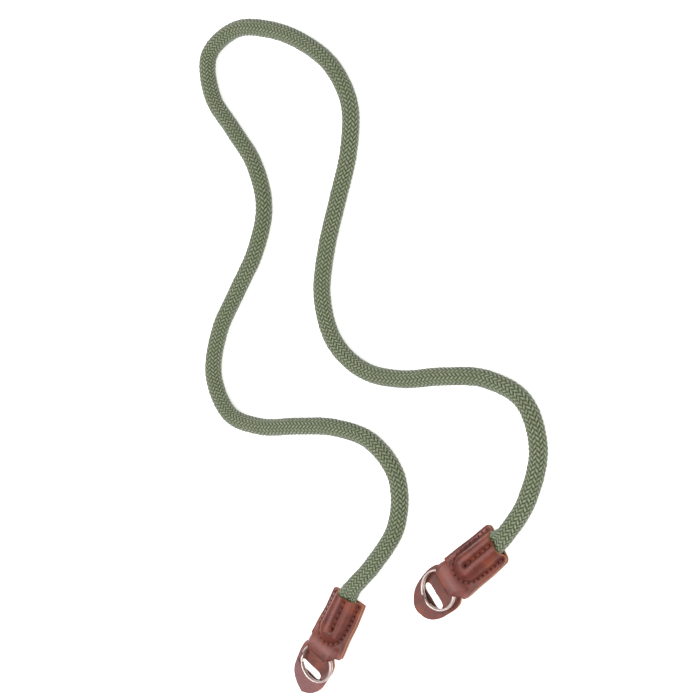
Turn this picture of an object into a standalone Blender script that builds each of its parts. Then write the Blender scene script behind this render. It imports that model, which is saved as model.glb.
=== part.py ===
"""A camera neck strap: a braided rope with a leather end at each side.

Each end is a leather sleeve sewn round the rope, whose tongue loops through a split ring,
and a slotted guard flap under the ring. The strap lies on a flat surface, in metres, +Z up.
The origin is on that surface, midway between the two leather ends. In the local frame of an
end +X runs from the rope to the ring, +Y to the sewn edge and +Z up, from the sleeve's mouth.
"""

import math

import bmesh
import bpy
from mathutils import Matrix, Vector

OBJECT_NAME = "camera_neck_strap"

# Rope
ROPE_DIAMETER = 0.010
PRESSED_WIDTH = 0.0122
PRESSED_HEIGHT = 0.0074
PRESS_LENGTH = 0.010
ROPE_GROOVE_DEPTH = 0.0017
ROPE_GROOVE_WIDTH = 0.0022
ROPE_TIP_LENGTH = 0.006
ROPE_TIP_WIDTH_SHARE = 0.80
ROPE_TIP_HEIGHT_SHARE = 0.62
FREE_POINT_SPACING = 0.011
BOUND_POINT_SPACING = 0.0045

# Leather and clearances
LEATHER = 0.0016
GUARD_LEATHER = 0.0016
CLEARANCE = 0.0003

# Sleeve, across: the pocket between its two lines of stitches, the fold and the sewn edge
POCKET_HALF_WIDTH = 0.009
FOLD_MARGIN = 0.0028
SEAM_MARGIN = 0.0028
SEAM_FLARE = 0.0017

# Sleeve, along: the pocket, then the rest of the fold, then the rest of the panel
POCKET_LENGTH = 0.0305
POCKET_ROUND = 0.009
FOLD_PAST_POCKET = 0.0013
PANEL_PAST_FOLD = 0.0032
ROPE_END_MARGIN = 0.0045
BACK_SETBACK = 0.0005
GROOVE_LENGTH = 0.022
GROOVE_FADE = 0.004
GROOVE_DEPTH = 0.0015
GROOVE_WIDTH = 0.0011
CROWN_POWER = 3.0
CROWN_ROUNDNESS = 0.6
BASE_RAMP = 0.013

# Tongue
PANEL_END_HALF_WIDTH = 0.0107
TONGUE_HALF_WIDTH = 0.0055
TONGUE_TUCK = 0.0015
TONGUE_TAPER_START = 0.001
TONGUE_TAPER_LENGTH = 0.0065
NOTCH_CLEARANCE = 0.0007
LOOP_OVERHANG = 0.0041
TUNNEL_RAMP = 0.0037
TUNNEL_LEAD = 0.0006

# Split ring
RING_DIAMETER = 0.0235
WIRE_DIAMETER = 0.0013
TURN_GAP = 0.0001
JOG_ANGLE = math.radians(26)
END_GAP_ANGLE = math.radians(4)
POINTS_PER_TURN = 34
RING_SETBACK = 0.0001

# Guard flap
GUARD_HALF_WIDTH = 0.013
GUARD_NECK_HALF_WIDTH = 0.0098
GUARD_UNDERLAP = 0.0084
GUARD_SHOULDER_START = 0.0030
GUARD_SHOULDER_LENGTH = 0.0045
GUARD_PAST_RING = 0.0107
GUARD_TIP_LENGTH = 0.0153
GUARD_TOP_ROUND = 0.003
GUARD_SLIDE_ROOM = 0.0015
SLOT_LENGTH = 0.017
SLOT_WIDTH = 0.0064
SLOT_PAST_RING = 0.0011

# Where each end lies: the middle of its mouth, the way its ring points, the skew that its mouth
# is cut with, the turn of its ring, and how its guard flap has turned and slid under the sleeve
ENDS = {
    "a": {
        "mouth": (-0.0323, 0.0052),
        "heading": math.radians(-118.5),
        "skew": math.radians(5),
        "turned": math.radians(297),
        "flap_turn": math.radians(-4),
        "flap_slide": 0.0,
    },
    "b": {
        "mouth": (0.0684, 0.0439),
        "heading": math.radians(-142.0),
        "skew": math.radians(-6),
        "turned": math.radians(10),
        "flap_turn": 0.0,
        "flap_slide": -0.001,
    },
}

# The rope's way over the surface from mouth a to mouth b
ROUTE = [
    (-0.0267, 0.0117), (-0.0122, 0.0263), (0.0036, 0.0491), (0.0039, 0.0762), (-0.0142, 0.0962),
    (-0.0407, 0.1034), (-0.0688, 0.1034), (-0.0968, 0.1023), (-0.1221, 0.1097), (-0.1350, 0.1330),
    (-0.1302, 0.1601), (-0.1161, 0.1842), (-0.1014, 0.2082), (-0.0943, 0.2349), (-0.1021, 0.2614),
    (-0.1189, 0.2837), (-0.1357, 0.3057), (-0.1390, 0.3314), (-0.1175, 0.3449), (-0.0906, 0.3419),
    (-0.0648, 0.3313), (-0.0427, 0.3145), (-0.0296, 0.2904), (-0.0306, 0.2625), (-0.0385, 0.2355),
    (-0.0464, 0.2084), (-0.0498, 0.1807), (-0.0413, 0.1545), (-0.0202, 0.1373), (0.0068, 0.1323),
    (0.0349, 0.1340), (0.0629, 0.1330), (0.0871, 0.1211), (0.0959, 0.0955), (0.0890, 0.0686),
    (0.0768, 0.0507),
]

# Tip outlines, from the fold's side round to the sewn side, in shares of the tip's length and
# of the flap's half width: flap a has a cut corner, flap b a rounder tongue
GUARD_TIPS = {
    "a": [
        {"along": 0.08, "across": -1.02, "corner": False},
        {"along": 0.52, "across": -0.83, "corner": True},
        {"along": 0.82, "across": -0.50, "corner": False},
        {"along": 1.00, "across": 0.00, "corner": False},
        {"along": 0.69, "across": 0.54, "corner": False},
        {"along": 0.31, "across": 0.84, "corner": False},
    ],
    "b": [
        {"along": 0.05, "across": -0.98, "corner": False},
        {"along": 0.40, "across": -0.85, "corner": False},
        {"along": 0.70, "across": -0.62, "corner": False},
        {"along": 0.98, "across": -0.10, "corner": False},
        {"along": 0.90, "across": 0.34, "corner": False},
        {"along": 0.72, "across": 0.66, "corner": False},
        {"along": 0.40, "across": 0.90, "corner": False},
    ],
}

# Lengths of the fold and of the whole panel, from the mouth
FOLD_LENGTH = POCKET_LENGTH + FOLD_PAST_POCKET
SLEEVE_LENGTH = FOLD_LENGTH + PANEL_PAST_FOLD

# Levels above the surface at the tongue, from the guard flap up
BACK_BOTTOM = GUARD_LEATHER + CLEARANCE
BACK_TOP = BACK_BOTTOM + LEATHER
SEAM_TOP = BACK_TOP + CLEARANCE + LEATHER
FOLD_RADIUS = LEATHER + CLEARANCE / 2
GUARD_TOP_EDGE = SLEEVE_LENGTH - GUARD_UNDERLAP

# Ring and tongue loop
RING_RADIUS = RING_DIAMETER / 2
RING_CENTRE_RADIUS = RING_RADIUS - WIRE_DIAMETER / 2
RING_INNER_RADIUS = RING_RADIUS - WIRE_DIAMETER
RING_CENTRE = SLEEVE_LENGTH + RING_SETBACK + RING_RADIUS
STACK_HALF_HEIGHT = WIRE_DIAMETER + TURN_GAP / 2
LOOP_CENTRE = SLEEVE_LENGTH + RING_SETBACK + LOOP_OVERHANG


def rise(value, start, end):
    """A smooth S from 0 at start to 1 at end."""
    share = min(max((value - start) / (end - start), 0.0), 1.0)
    return share * share * (3 - 2 * share)


def between(low, high, share):
    """The value this share of the way from low to high."""
    return low + (high - low) * share


def base_level(along):
    """Height of the sleeve's underside, which rises onto the guard flap."""
    ramp_end = GUARD_TOP_EDGE - GUARD_SLIDE_ROOM
    return BACK_BOTTOM * rise(along, ramp_end - BASE_RAMP, ramp_end)


def ring_levels():
    """Heights of the ring's wire centre at its near side, in the loop, and at its far side."""
    far = GUARD_LEATHER + CLEARANCE + STACK_HALF_HEIGHT
    lowest = BACK_TOP + CLEARANCE + STACK_HALF_HEIGHT
    inner_edge = math.sqrt(RING_INNER_RADIUS**2 - TONGUE_HALF_WIDTH**2)
    share = (RING_CENTRE_RADIUS - inner_edge) / (2 * RING_CENTRE_RADIUS)
    near = (lowest - share * far) / (1 - share)
    return near, far


def loop_top():
    """Height of the tongue's outer face over the ring."""
    return ring_levels()[0] + STACK_HALF_HEIGHT + CLEARANCE + LEATHER


def pocket_share(along, across):
    """0 on the pocket's middle line, 1 on the stitches that bound it."""
    end = max(0.0, along - (POCKET_LENGTH - POCKET_ROUND)) / POCKET_ROUND
    return math.hypot(across / POCKET_HALF_WIDTH, end)


def groove(along, across, depth, width):
    """Depth of the furrow that the middle line of stitches pulls in."""
    fade = 1 - rise(along, GROOVE_LENGTH - GROOVE_FADE / 2, GROOVE_LENGTH + GROOVE_FADE / 2)
    return depth * fade * math.exp(-((across / width) ** 2))


def front_level(along, across):
    """Height of the sleeve's upper face, over the rope's pocket and over the ring."""
    base = base_level(along)
    share = min(pocket_share(along, across), 1.0)
    crown = (1 - share**CROWN_POWER) ** CROWN_ROUNDNESS
    pocket = (PRESSED_HEIGHT + CLEARANCE - base) * crown
    if abs(across) < RING_RADIUS:
        edge = RING_CENTRE - math.sqrt(RING_RADIUS**2 - across**2)
        over_ring = rise(along, edge - TUNNEL_LEAD - TUNNEL_RAMP, edge - TUNNEL_LEAD)
    else:
        over_ring = 0.0
    flat = base + 2 * LEATHER + CLEARANCE
    tunnel = (loop_top() - SEAM_TOP) * over_ring
    return flat + pocket + tunnel - groove(along, across, GROOVE_DEPTH, GROOVE_WIDTH) * crown


def panel_edges(along):
    """The front panel's edge on the fold's side and on the sewn side, at a place along it."""
    fold_line = -(POCKET_HALF_WIDTH + FOLD_MARGIN - FOLD_RADIUS)
    flare = SEAM_FLARE * min(along / FOLD_LENGTH, 1.0)
    seam_line = POCKET_HALF_WIDTH + SEAM_MARGIN + flare
    taper = rise(
        along,
        SLEEVE_LENGTH + TONGUE_TAPER_START,
        SLEEVE_LENGTH + TONGUE_TAPER_START + TONGUE_TAPER_LENGTH,
    )
    half = between(PANEL_END_HALF_WIDTH, TONGUE_HALF_WIDTH, taper)
    if along <= FOLD_LENGTH:
        return fold_line, seam_line
    if along <= SLEEVE_LENGTH:
        share = (along - FOLD_LENGTH) / (SLEEVE_LENGTH - FOLD_LENGTH)
        return between(fold_line, -PANEL_END_HALF_WIDTH, share), seam_line
    return -half, half


def row_places():
    """Places along the sleeve of its rows of faces: beside the fold, and past it to the loop."""
    round_start = POCKET_LENGTH - POCKET_ROUND
    notch = notch_place()
    fold = [between(0, round_start, share) for share in (0, 0.14, 0.31, 0.48, 0.65, 0.83)]
    fold += [between(round_start, notch, share) for share in (0, 0.27, 0.53, 0.78)]
    fold += [between(notch, POCKET_LENGTH, share) for share in (0, 0.42, 0.76, 1)]
    fold += [between(POCKET_LENGTH, FOLD_LENGTH, 0.5), FOLD_LENGTH]
    taper = SLEEVE_LENGTH + TONGUE_TAPER_START
    past = [between(FOLD_LENGTH, SLEEVE_LENGTH, share) for share in (0.33, 0.66, 1)]
    past += [between(taper, LOOP_CENTRE, share) for share in (0, 0.34, 0.68, 1)]
    return fold, past


def notch_place():
    """Where the back panel's notch for the tongue's tucked end begins."""
    return POCKET_LENGTH - TONGUE_TUCK - 2 * NOTCH_CLEARANCE


def column_places(along):
    """Places across the front panel of one row of faces, gathered where the pocket closes."""
    shares = (0.1, 0.24, 0.42, 0.62, 0.8, 0.9, 0.97, 1.0)
    round_share = max(0.0, along - (POCKET_LENGTH - POCKET_ROUND)) / POCKET_ROUND
    if along <= POCKET_LENGTH:
        gather = math.sqrt(max(1 - round_share**2, 0.25))
    else:
        gather = between(0.5, 1.0, rise(along, POCKET_LENGTH, FOLD_LENGTH))
    half = [POCKET_HALF_WIDTH * gather * share for share in shares]
    fold_edge, seam_edge = panel_edges(along)
    full_fold, full_seam = panel_edges(0)
    fold_side = [-place * fold_edge / full_fold for place in reversed(half)]
    seam_side = [place * seam_edge / full_seam for place in half]
    return [fold_edge] + fold_side + [0.0] + seam_side + [seam_edge]


def skewed(along, across, skew):
    """A place along the sleeve, moved as its mouth's skew moves it."""
    share = max(0.0, 1 - along / POCKET_LENGTH)
    return along - math.tan(skew) * across * share


def front_row(along, skew):
    """One row of points across the front panel."""
    places = column_places(along)
    return [(skewed(along, across, skew), across, front_level(along, across)) for across in places]


def loop_rows():
    """Rows of points round the tongue's fold and back under the ring to its tucked end."""
    radius = (loop_top() - BACK_BOTTOM) / 2
    turns = 8
    rows = []
    for step in range(1, turns + 1):
        angle = math.pi * step / turns
        along = LOOP_CENTRE + radius * math.sin(angle)
        height = BACK_BOTTOM + radius * (1 + math.cos(angle))
        places = column_places(LOOP_CENTRE + radius * angle)
        rows.append([(along, across, height) for across in places])
    tucked = POCKET_LENGTH - TONGUE_TUCK
    for share in (0.33, 0.66, 1):
        along = between(LOOP_CENTRE, tucked, share)
        rows.append([(along, across, BACK_BOTTOM) for across in places])
    return rows


def join_rows(mesh, first, second):
    """Faces between two rows of vertices, as long as the shorter of them."""
    for left, right, far_right, far_left in zip(first, first[1:], second[1:], second):
        mesh.faces.new((left, far_left, far_right, right))


def add_rows(mesh, rows):
    """Vertices for rows of points, with faces between each row and the next."""
    made = [[mesh.verts.new(point) for point in row] for row in rows]
    for first, second in zip(made, made[1:]):
        join_rows(mesh, first, second)
    return made


def add_fold(mesh, front, places, skew):
    """The rounded fold along the panel's side, from the front panel's edge to the back's."""
    turns = 6
    fold_line = panel_edges(0)[0]
    rows = []
    for along, vertices in zip(places, front):
        row = [vertices[0]]
        for step in range(1, turns + 1):
            angle = math.pi * step / turns
            across = fold_line - FOLD_RADIUS * math.sin(angle)
            height = base_level(along) + FOLD_RADIUS * (1 + math.cos(angle))
            row.append(mesh.verts.new((skewed(along, across, skew), across, height)))
        rows.append(row)
    for first, second in zip(rows, rows[1:]):
        join_rows(mesh, list(reversed(first)), list(reversed(second)))
    return [row[-1] for row in rows]


def add_back(mesh, fold_edge, places, skew):
    """The back panel, from the fold to the sewn edge, with a notch for the tongue's end."""
    notch_half = TONGUE_HALF_WIDTH + NOTCH_CLEARANCE
    end = SLEEVE_LENGTH - BACK_SETBACK
    rows = []
    for along, fold_vertex in zip(places, fold_edge):
        height = base_level(along)
        seam_edge = panel_edges(along)[1]
        row = [
            mesh.verts.new((skewed(along, across, skew), across, height))
            for across in (seam_edge, notch_half, -notch_half)
        ]
        rows.append(row + [fold_vertex])
    corners = (seam_edge, notch_half, -notch_half, panel_edges(0)[0])
    rows.append([mesh.verts.new((end, across, BACK_BOTTOM)) for across in corners])
    for along, first, second in zip(places, rows, rows[1:]):
        if along < notch_place() - CLEARANCE:
            join_rows(mesh, first, second)
        else:
            join_rows(mesh, first[:2], second[:2])
            join_rows(mesh, first[2:], second[2:])


def make_sleeve(name, skew, material):
    """A leather panel folded round the rope, whose tongue loops through the ring."""
    fold_places, past_places = row_places()
    mesh = bmesh.new()
    panel = [front_row(along, skew) for along in fold_places + past_places]
    front = add_rows(mesh, panel + loop_rows())
    fold_edge = add_fold(mesh, front, fold_places, skew)
    add_back(mesh, fold_edge, fold_places, skew)
    sleeve = add_object(name, mesh, material)
    wall = sleeve.modifiers.new("Leather", "SOLIDIFY")
    wall.thickness = LEATHER
    wall.offset = -1
    wall.use_even_offset = True
    return sleeve


def new_material(name, colour, roughness, metallic=0.0):
    """A plain finish from an sRGB colour in steps of 255."""
    linear = [(step / 255) ** 2.2 for step in colour]
    material = bpy.data.materials.new(name)
    material.use_nodes = True
    shader = material.node_tree.nodes["Principled BSDF"]
    shader.inputs["Base Color"].default_value = (*linear, 1)
    shader.inputs["Roughness"].default_value = roughness
    shader.inputs["Metallic"].default_value = metallic
    return material


def part_collection():
    """The collection that holds the strap's pieces."""
    found = bpy.data.collections.get(OBJECT_NAME)
    if found is None:
        found = bpy.data.collections.new(OBJECT_NAME)
        bpy.context.scene.collection.children.link(found)
    return found


def link_object(name, data, material):
    """A named object in the part's collection, with its material."""
    piece = bpy.data.objects.new(name, data)
    data.materials.append(material)
    part_collection().objects.link(piece)
    return piece


def add_object(name, mesh, material):
    """An object from a bmesh, shaded smooth up to its edges."""
    data = bpy.data.meshes.new(name)
    mesh.to_mesh(data)
    mesh.free()
    data.shade_smooth()
    data.set_sharp_from_angle(angle=math.radians(40))
    return link_object(name, data, material)


def add_wire(name, points, diameter, resolution, material):
    """A round wire, open at its ends and capped, along points joined by straight runs."""
    curve = bpy.data.curves.new(name, "CURVE")
    curve.dimensions = "3D"
    curve.twist_mode = "Z_UP"
    curve.bevel_depth = diameter / 2
    curve.bevel_resolution = resolution
    curve.use_fill_caps = True
    spline = curve.splines.new("POLY")
    spline.points.add(len(points) - 1)
    for place, point in zip(spline.points, points):
        place.co = (*point, 1)
    return link_object(name, curve, material)


def make_ring(name, material):
    """A split ring: two turns of wire, one on the other, with a step where they change."""
    rise_half = STACK_HALF_HEIGHT - WIRE_DIAMETER / 2
    start = END_GAP_ANGLE
    end = 4 * math.pi - JOG_ANGLE - END_GAP_ANGLE
    count = round(2 * POINTS_PER_TURN * (end - start) / (4 * math.pi))
    points = []
    for step in range(count + 1):
        angle = between(start, end, step / count)
        climb = rise(angle, 2 * math.pi - JOG_ANGLE, 2 * math.pi)
        height = between(-rise_half, rise_half, climb)
        x, y = math.cos(angle), math.sin(angle)
        points.append((RING_CENTRE_RADIUS * x, RING_CENTRE_RADIUS * y, height))
    return add_wire(name, points, WIRE_DIAMETER, 2, material)


def place_ring(ring, turned):
    """Sets the ring's origin at its centre, leaning on the tongue's loop, and turns it."""
    near, far = ring_levels()
    lean = math.asin((near - far) / (2 * RING_CENTRE_RADIUS))
    ring.matrix_local = (
        Matrix.Translation((RING_CENTRE, 0, (near + far) / 2))
        @ Matrix.Rotation(lean, 4, "Y")
        @ Matrix.Rotation(turned, 4, "Z")
    )


def add_outline(curve, points, resolution):
    """A closed smooth outline, with a sharp corner at each point marked as one."""
    spline = curve.splines.new("BEZIER")
    spline.resolution_u = resolution
    spline.use_cyclic_u = True
    spline.bezier_points.add(len(points) - 1)
    for place, (x, y, corner) in zip(spline.bezier_points, points):
        place.co = (x, y, 0)
        place.handle_left_type = place.handle_right_type = "VECTOR" if corner else "AUTO"
    return spline


def guard_outline(side):
    """Points of one guard flap's outline, from the fold's side round to the sewn side."""
    neck = SLEEVE_LENGTH + GUARD_SHOULDER_START
    shoulder = neck + GUARD_SHOULDER_LENGTH
    tip = RING_CENTRE + RING_RADIUS + GUARD_PAST_RING
    tip_start = tip - GUARD_TIP_LENGTH
    half, slim = GUARD_HALF_WIDTH, GUARD_NECK_HALF_WIDTH
    middle = (neck + shoulder) / 2, (half + slim) / 2
    flank = [
        (GUARD_TOP_EDGE, slim - GUARD_TOP_ROUND, True),
        (GUARD_TOP_EDGE + GUARD_TOP_ROUND, slim, False),
        (neck, slim, False),
        (*middle, False),
        (shoulder, half, False),
        (tip_start, half, False),
    ]
    down = [(along, -across, corner) for along, across, corner in flank]
    round_tip = [
        (between(tip_start, tip, row["along"]), half * row["across"], row["corner"])
        for row in GUARD_TIPS[side]
    ]
    return down + round_tip + list(reversed(flank))


def slot_outline():
    """The lens of the slot, whose far edge lies under the ring."""
    far = RING_CENTRE + RING_INNER_RADIUS + SLOT_PAST_RING
    centre = far - SLOT_WIDTH / 2
    points = [(centre, -SLOT_LENGTH / 2), (far, 0), (centre, SLOT_LENGTH / 2), (far - SLOT_WIDTH, 0)]
    return [(x, y, False) for x, y in points]


def make_guard(name, side, material):
    """A flat leather flap with a slot, under the ring."""
    curve = bpy.data.curves.new(name, "CURVE")
    curve.dimensions = "2D"
    curve.fill_mode = "BOTH"
    curve.extrude = GUARD_LEATHER / 2
    add_outline(curve, guard_outline(side), 4)
    add_outline(curve, slot_outline(), 6)
    guard = link_object(name, curve, material)
    place = Matrix.Translation((ENDS[side]["flap_slide"], 0, GUARD_LEATHER / 2))
    guard.matrix_local = Matrix.Rotation(ENDS[side]["flap_turn"], 4, "Z") @ place
    return guard


def end_matrix(side):
    """The place and heading of an end's local frame."""
    x, y = ENDS[side]["mouth"]
    return Matrix.Translation((x, y, 0)) @ Matrix.Rotation(ENDS[side]["heading"], 4, "Z")


def smooth_way(points):
    """A smooth curve through points, in short steps, as (x, y) pairs."""
    steps = 24
    first = points[0] + (points[0] - points[1])
    last = points[-1] + (points[-1] - points[-2])
    held = [first, *points, last]
    way = []
    for before, start, end, after in zip(held, held[1:], held[2:], held[3:]):
        for step in range(steps):
            share = step / steps
            pull = (2 * before - 5 * start + 4 * end - after) * share**2
            twist = (3 * start - before - 3 * end + after) * share**3
            way.append(start + ((end - before) * share + pull + twist) / 2)
    return way + [points[-1]]


def bound_way(side):
    """The straight middle line of the rope in one sleeve, from its tip to the mouth."""
    inside = POCKET_LENGTH - ROPE_END_MARGIN
    return [end_matrix(side) @ Vector((inside * share, 0, 0)) for share in (1, 0.5, 0)]


def rope_route():
    """The rope's way in plan from its end in sleeve a to its end in sleeve b."""
    free = [Vector((x, y, 0)) for x, y in ROUTE]
    return walk(smooth_way(bound_way("a") + free + bound_way("b")[::-1]))


def walk(way):
    """Points along the rope's way, closer together where it is pressed in a sleeve."""
    travelled = [0.0]
    for start, end in zip(way, way[1:]):
        travelled.append(travelled[-1] + (end - start).length)
    length = travelled[-1]
    bound = POCKET_LENGTH - ROPE_END_MARGIN + PRESS_LENGTH
    bound_steps = round(bound / BOUND_POINT_SPACING)
    free_steps = round((length - 2 * bound) / FREE_POINT_SPACING)
    stops = [bound * step / bound_steps for step in range(bound_steps)]
    stops += [between(bound, length - bound, step / free_steps) for step in range(free_steps)]
    stops += [length - bound * step / bound_steps for step in range(bound_steps, -1, -1)]
    points = []
    index = 0
    for stop in stops:
        while index < len(way) - 2 and travelled[index + 1] < stop:
            index += 1
        share = (stop - travelled[index]) / (travelled[index + 1] - travelled[index])
        points.append(way[index].lerp(way[index + 1], share))
    return points


def rope_section(along):
    """Centre height, width and height of the rope at a place along an end's local frame."""
    pressed = rise(along, -PRESS_LENGTH, 0)
    tip_end = POCKET_LENGTH - ROPE_END_MARGIN
    tip = rise(along, tip_end - ROPE_TIP_LENGTH, tip_end)
    room = PRESSED_HEIGHT - base_level(along)
    width = between(ROPE_DIAMETER, PRESSED_WIDTH, pressed) * between(1, ROPE_TIP_WIDTH_SHARE, tip)
    height = between(ROPE_DIAMETER, room, pressed) * between(1, ROPE_TIP_HEIGHT_SHARE, tip)
    bottom = pressed * (LEATHER + CLEARANCE + base_level(along))
    return bottom + height / 2, width, height


def near_end(point):
    """Place along the local frame of the end that holds this point, far out if neither does."""
    side = min(ENDS, key=lambda name: (point.xy - Vector(ENDS[name]["mouth"])).length)
    local = end_matrix(side).inverted() @ point
    held = abs(local.y) < PRESSED_WIDTH and local.x > -2 * PRESS_LENGTH
    return local.x if held else -2 * PRESS_LENGTH


def make_rope(name, material):
    """The rope: a round tube, pressed flatter and furrowed where a sleeve holds it."""
    route = rope_route()
    sections = [rope_section(near_end(point)) for point in route]
    points = [Vector((point.x, point.y, section[0])) for point, section in zip(route, sections)]
    wire = add_wire(name, points, ROPE_DIAMETER, 4, material)
    data = bpy.data.meshes.new_from_object(wire.evaluated_get(bpy.context.evaluated_depsgraph_get()))
    bpy.data.objects.remove(wire)
    mesh = bmesh.new()
    mesh.from_mesh(data)
    bpy.data.meshes.remove(data)
    bmesh.ops.remove_doubles(mesh, verts=mesh.verts, dist=CLEARANCE / 10)
    for vertex in mesh.verts:
        nearest = min(range(len(points)), key=lambda index: (vertex.co - points[index]).length)
        centre, (_, width, height) = points[nearest], sections[nearest]
        before, after = points[max(nearest - 1, 0)], points[min(nearest + 1, len(points) - 1)]
        side = Vector((before.y - after.y, after.x - before.x, 0)).normalized()
        offset = vertex.co - centre
        across = offset.dot(side)
        moved = across * (width / ROPE_DIAMETER - 1)
        furrow = 0.0
        if offset.z > 0:
            along = near_end(route[nearest])
            pressed = rise(along, -PRESS_LENGTH, 0)
            furrow = pressed * groove(along, across, ROPE_GROOVE_DEPTH, ROPE_GROOVE_WIDTH)
        vertex.co += side * moved
        vertex.co.z += offset.z * (height / ROPE_DIAMETER - 1) - furrow
    return add_object(name, mesh, material)


def main():
    """Clears the scene and builds the strap."""
    for piece in list(bpy.data.objects):
        bpy.data.objects.remove(piece)
    rope = new_material("braided rope", (123, 131, 110), 0.85)
    leather = new_material("brown leather", (133, 84, 77), 0.5)
    nickel = new_material("nickel-plated steel", (205, 200, 196), 0.25, metallic=1.0)
    make_rope("rope", rope)
    for side, place in ENDS.items():
        end = bpy.data.objects.new(f"end_{side}", None)
        end.matrix_world = end_matrix(side)
        part_collection().objects.link(end)
        sleeve = make_sleeve(f"sleeve_{side}", place["skew"], leather)
        guard = make_guard(f"guard_flap_{side}", side, leather)
        ring = make_ring(f"split_ring_{side}", nickel)
        place_ring(ring, place["turned"])
        for piece in (sleeve, guard, ring):
            piece.parent = end


main()
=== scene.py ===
"""The look of a camera neck strap: a braided rope, two leather ends, split rings and stitches.

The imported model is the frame, in metres with +Z up. Each leather end has a local frame at the
middle of its mouth, with +X towards the ring and +Y towards the sewn edge.
"""

import logging
import math
from dataclasses import dataclass
from enum import Enum

import bpy
import numpy as np
from mathutils import Matrix, Vector


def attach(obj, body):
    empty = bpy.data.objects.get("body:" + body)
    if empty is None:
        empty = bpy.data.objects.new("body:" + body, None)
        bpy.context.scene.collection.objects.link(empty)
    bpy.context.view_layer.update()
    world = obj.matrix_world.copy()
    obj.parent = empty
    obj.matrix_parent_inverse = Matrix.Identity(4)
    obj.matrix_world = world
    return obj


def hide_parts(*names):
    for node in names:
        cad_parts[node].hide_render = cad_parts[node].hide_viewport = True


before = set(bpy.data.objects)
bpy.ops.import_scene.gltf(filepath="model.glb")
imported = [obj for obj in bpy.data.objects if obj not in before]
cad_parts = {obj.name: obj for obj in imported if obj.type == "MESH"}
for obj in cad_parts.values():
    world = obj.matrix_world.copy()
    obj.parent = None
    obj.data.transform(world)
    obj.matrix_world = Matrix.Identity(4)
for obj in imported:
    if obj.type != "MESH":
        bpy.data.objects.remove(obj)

LOG = logging.getLogger("neck_strap")
Piece = bpy.types.Object
Socket = bpy.types.NodeSocket
Array = np.ndarray
Colour = tuple[int, int, int]
Point = tuple[float, float]
Knot = tuple[float, float, bool]
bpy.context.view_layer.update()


class Side(Enum):
    """The strap's two ends, as the part names them."""

    A = "a"
    B = "b"


class ThreadTone(Enum):
    """Colours of the waxed thread, in sRGB steps of 255."""

    BROWN = (112, 64, 56)
    PALE = (192, 146, 136)


# The rope's way over the surface from mouth a to mouth b, in metres
ROUTE: list[Point] = [
    (-0.0267, 0.0117), (-0.0122, 0.0263), (0.0036, 0.0491), (0.0039, 0.0762), (-0.0142, 0.0962),
    (-0.0407, 0.1034), (-0.0688, 0.1034), (-0.0968, 0.1023), (-0.1221, 0.1097), (-0.1350, 0.1330),
    (-0.1302, 0.1601), (-0.1161, 0.1842), (-0.1014, 0.2082), (-0.0943, 0.2349), (-0.1021, 0.2614),
    (-0.1189, 0.2837), (-0.1357, 0.3057), (-0.1390, 0.3314), (-0.1175, 0.3449), (-0.0906, 0.3419),
    (-0.0648, 0.3313), (-0.0427, 0.3145), (-0.0296, 0.2904), (-0.0306, 0.2625), (-0.0385, 0.2355),
    (-0.0464, 0.2084), (-0.0498, 0.1807), (-0.0413, 0.1545), (-0.0202, 0.1373), (0.0068, 0.1323),
    (0.0349, 0.1340), (0.0629, 0.1330), (0.0871, 0.1211), (0.0959, 0.0955), (0.0890, 0.0686),
    (0.0768, 0.0507),
]

# Tip outlines of the guard flaps, in shares of the tip's length and of the half width
FLAP_TIPS: dict[Side, list[Point]] = {
    Side.A: [
        (0.06, -0.90), (0.48, -0.77), (0.80, -0.43), (1.045, 0.135), (0.84, 0.56), (0.60, 0.81), (0.31, 0.96),
    ],
    Side.B: [
        (0.05, -0.98), (0.40, -0.85), (0.70, -0.62), (0.98, -0.10), (0.90, 0.34), (0.72, 0.66), (0.40, 0.90),
    ],
}
SHARP_TIP: Point = (1.045, 0.135)


def rise(value: Array, start: float, end: float) -> Array:
    """A smooth S from 0 to 1.

    Args:
        value: Places at which to read it.
        start: Place where it is 0.
        end: Place where it is 1.

    Returns:
        The S at each place.
    """
    share = np.clip((value - start) / (end - start), 0.0, 1.0)
    return share * share * (3 - 2 * share)


def between(low: Array, high: Array, share: Array) -> Array:
    """The values at these shares of the way from low to high."""
    return low + (high - low) * share


def hump(away: Array, width: float) -> Array:
    """A bell that is 1 where away is 0 and fades over this width."""
    return np.exp(-((away / width) ** 2))


def start_fresh() -> None:
    """Returns to object mode with nothing selected."""
    if bpy.context.mode != "OBJECT":
        bpy.ops.object.mode_set(mode="OBJECT")
    bpy.ops.object.select_all(action="DESELECT")


def select_only(piece: Piece) -> None:
    """Selects one piece and makes it active.

    Args:
        piece: The object.
    """
    start_fresh()
    piece.select_set(True)
    bpy.context.view_layer.objects.active = piece


def finish_with(piece: Piece, kind: str, **settings: object) -> None:
    """Adds a modifier to a piece and applies it.

    Args:
        piece: The piece to finish.
        kind: The modifier's type.
        settings: Values for the modifier's own fields.
    """
    select_only(piece)
    bpy.ops.object.modifier_add(type=kind)
    modifier = piece.modifiers[-1]
    for name, value in settings.items():
        setattr(modifier, name, value)
    bpy.ops.object.modifier_apply(modifier=modifier.name)


def points_of(piece: Piece) -> Array:
    """A piece's vertices as rows of x, y and z.

    Args:
        piece: The object.

    Returns:
        One row for each vertex.
    """
    flat = np.empty(len(piece.data.vertices) * 3)
    piece.data.vertices.foreach_get("co", flat)
    return flat.reshape(-1, 3)


def move_points(piece: Piece, points: Array) -> None:
    """Puts a piece's vertices at these places."""
    piece.data.vertices.foreach_set("co", points.astype(np.float32).ravel())
    piece.data.update()


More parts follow.
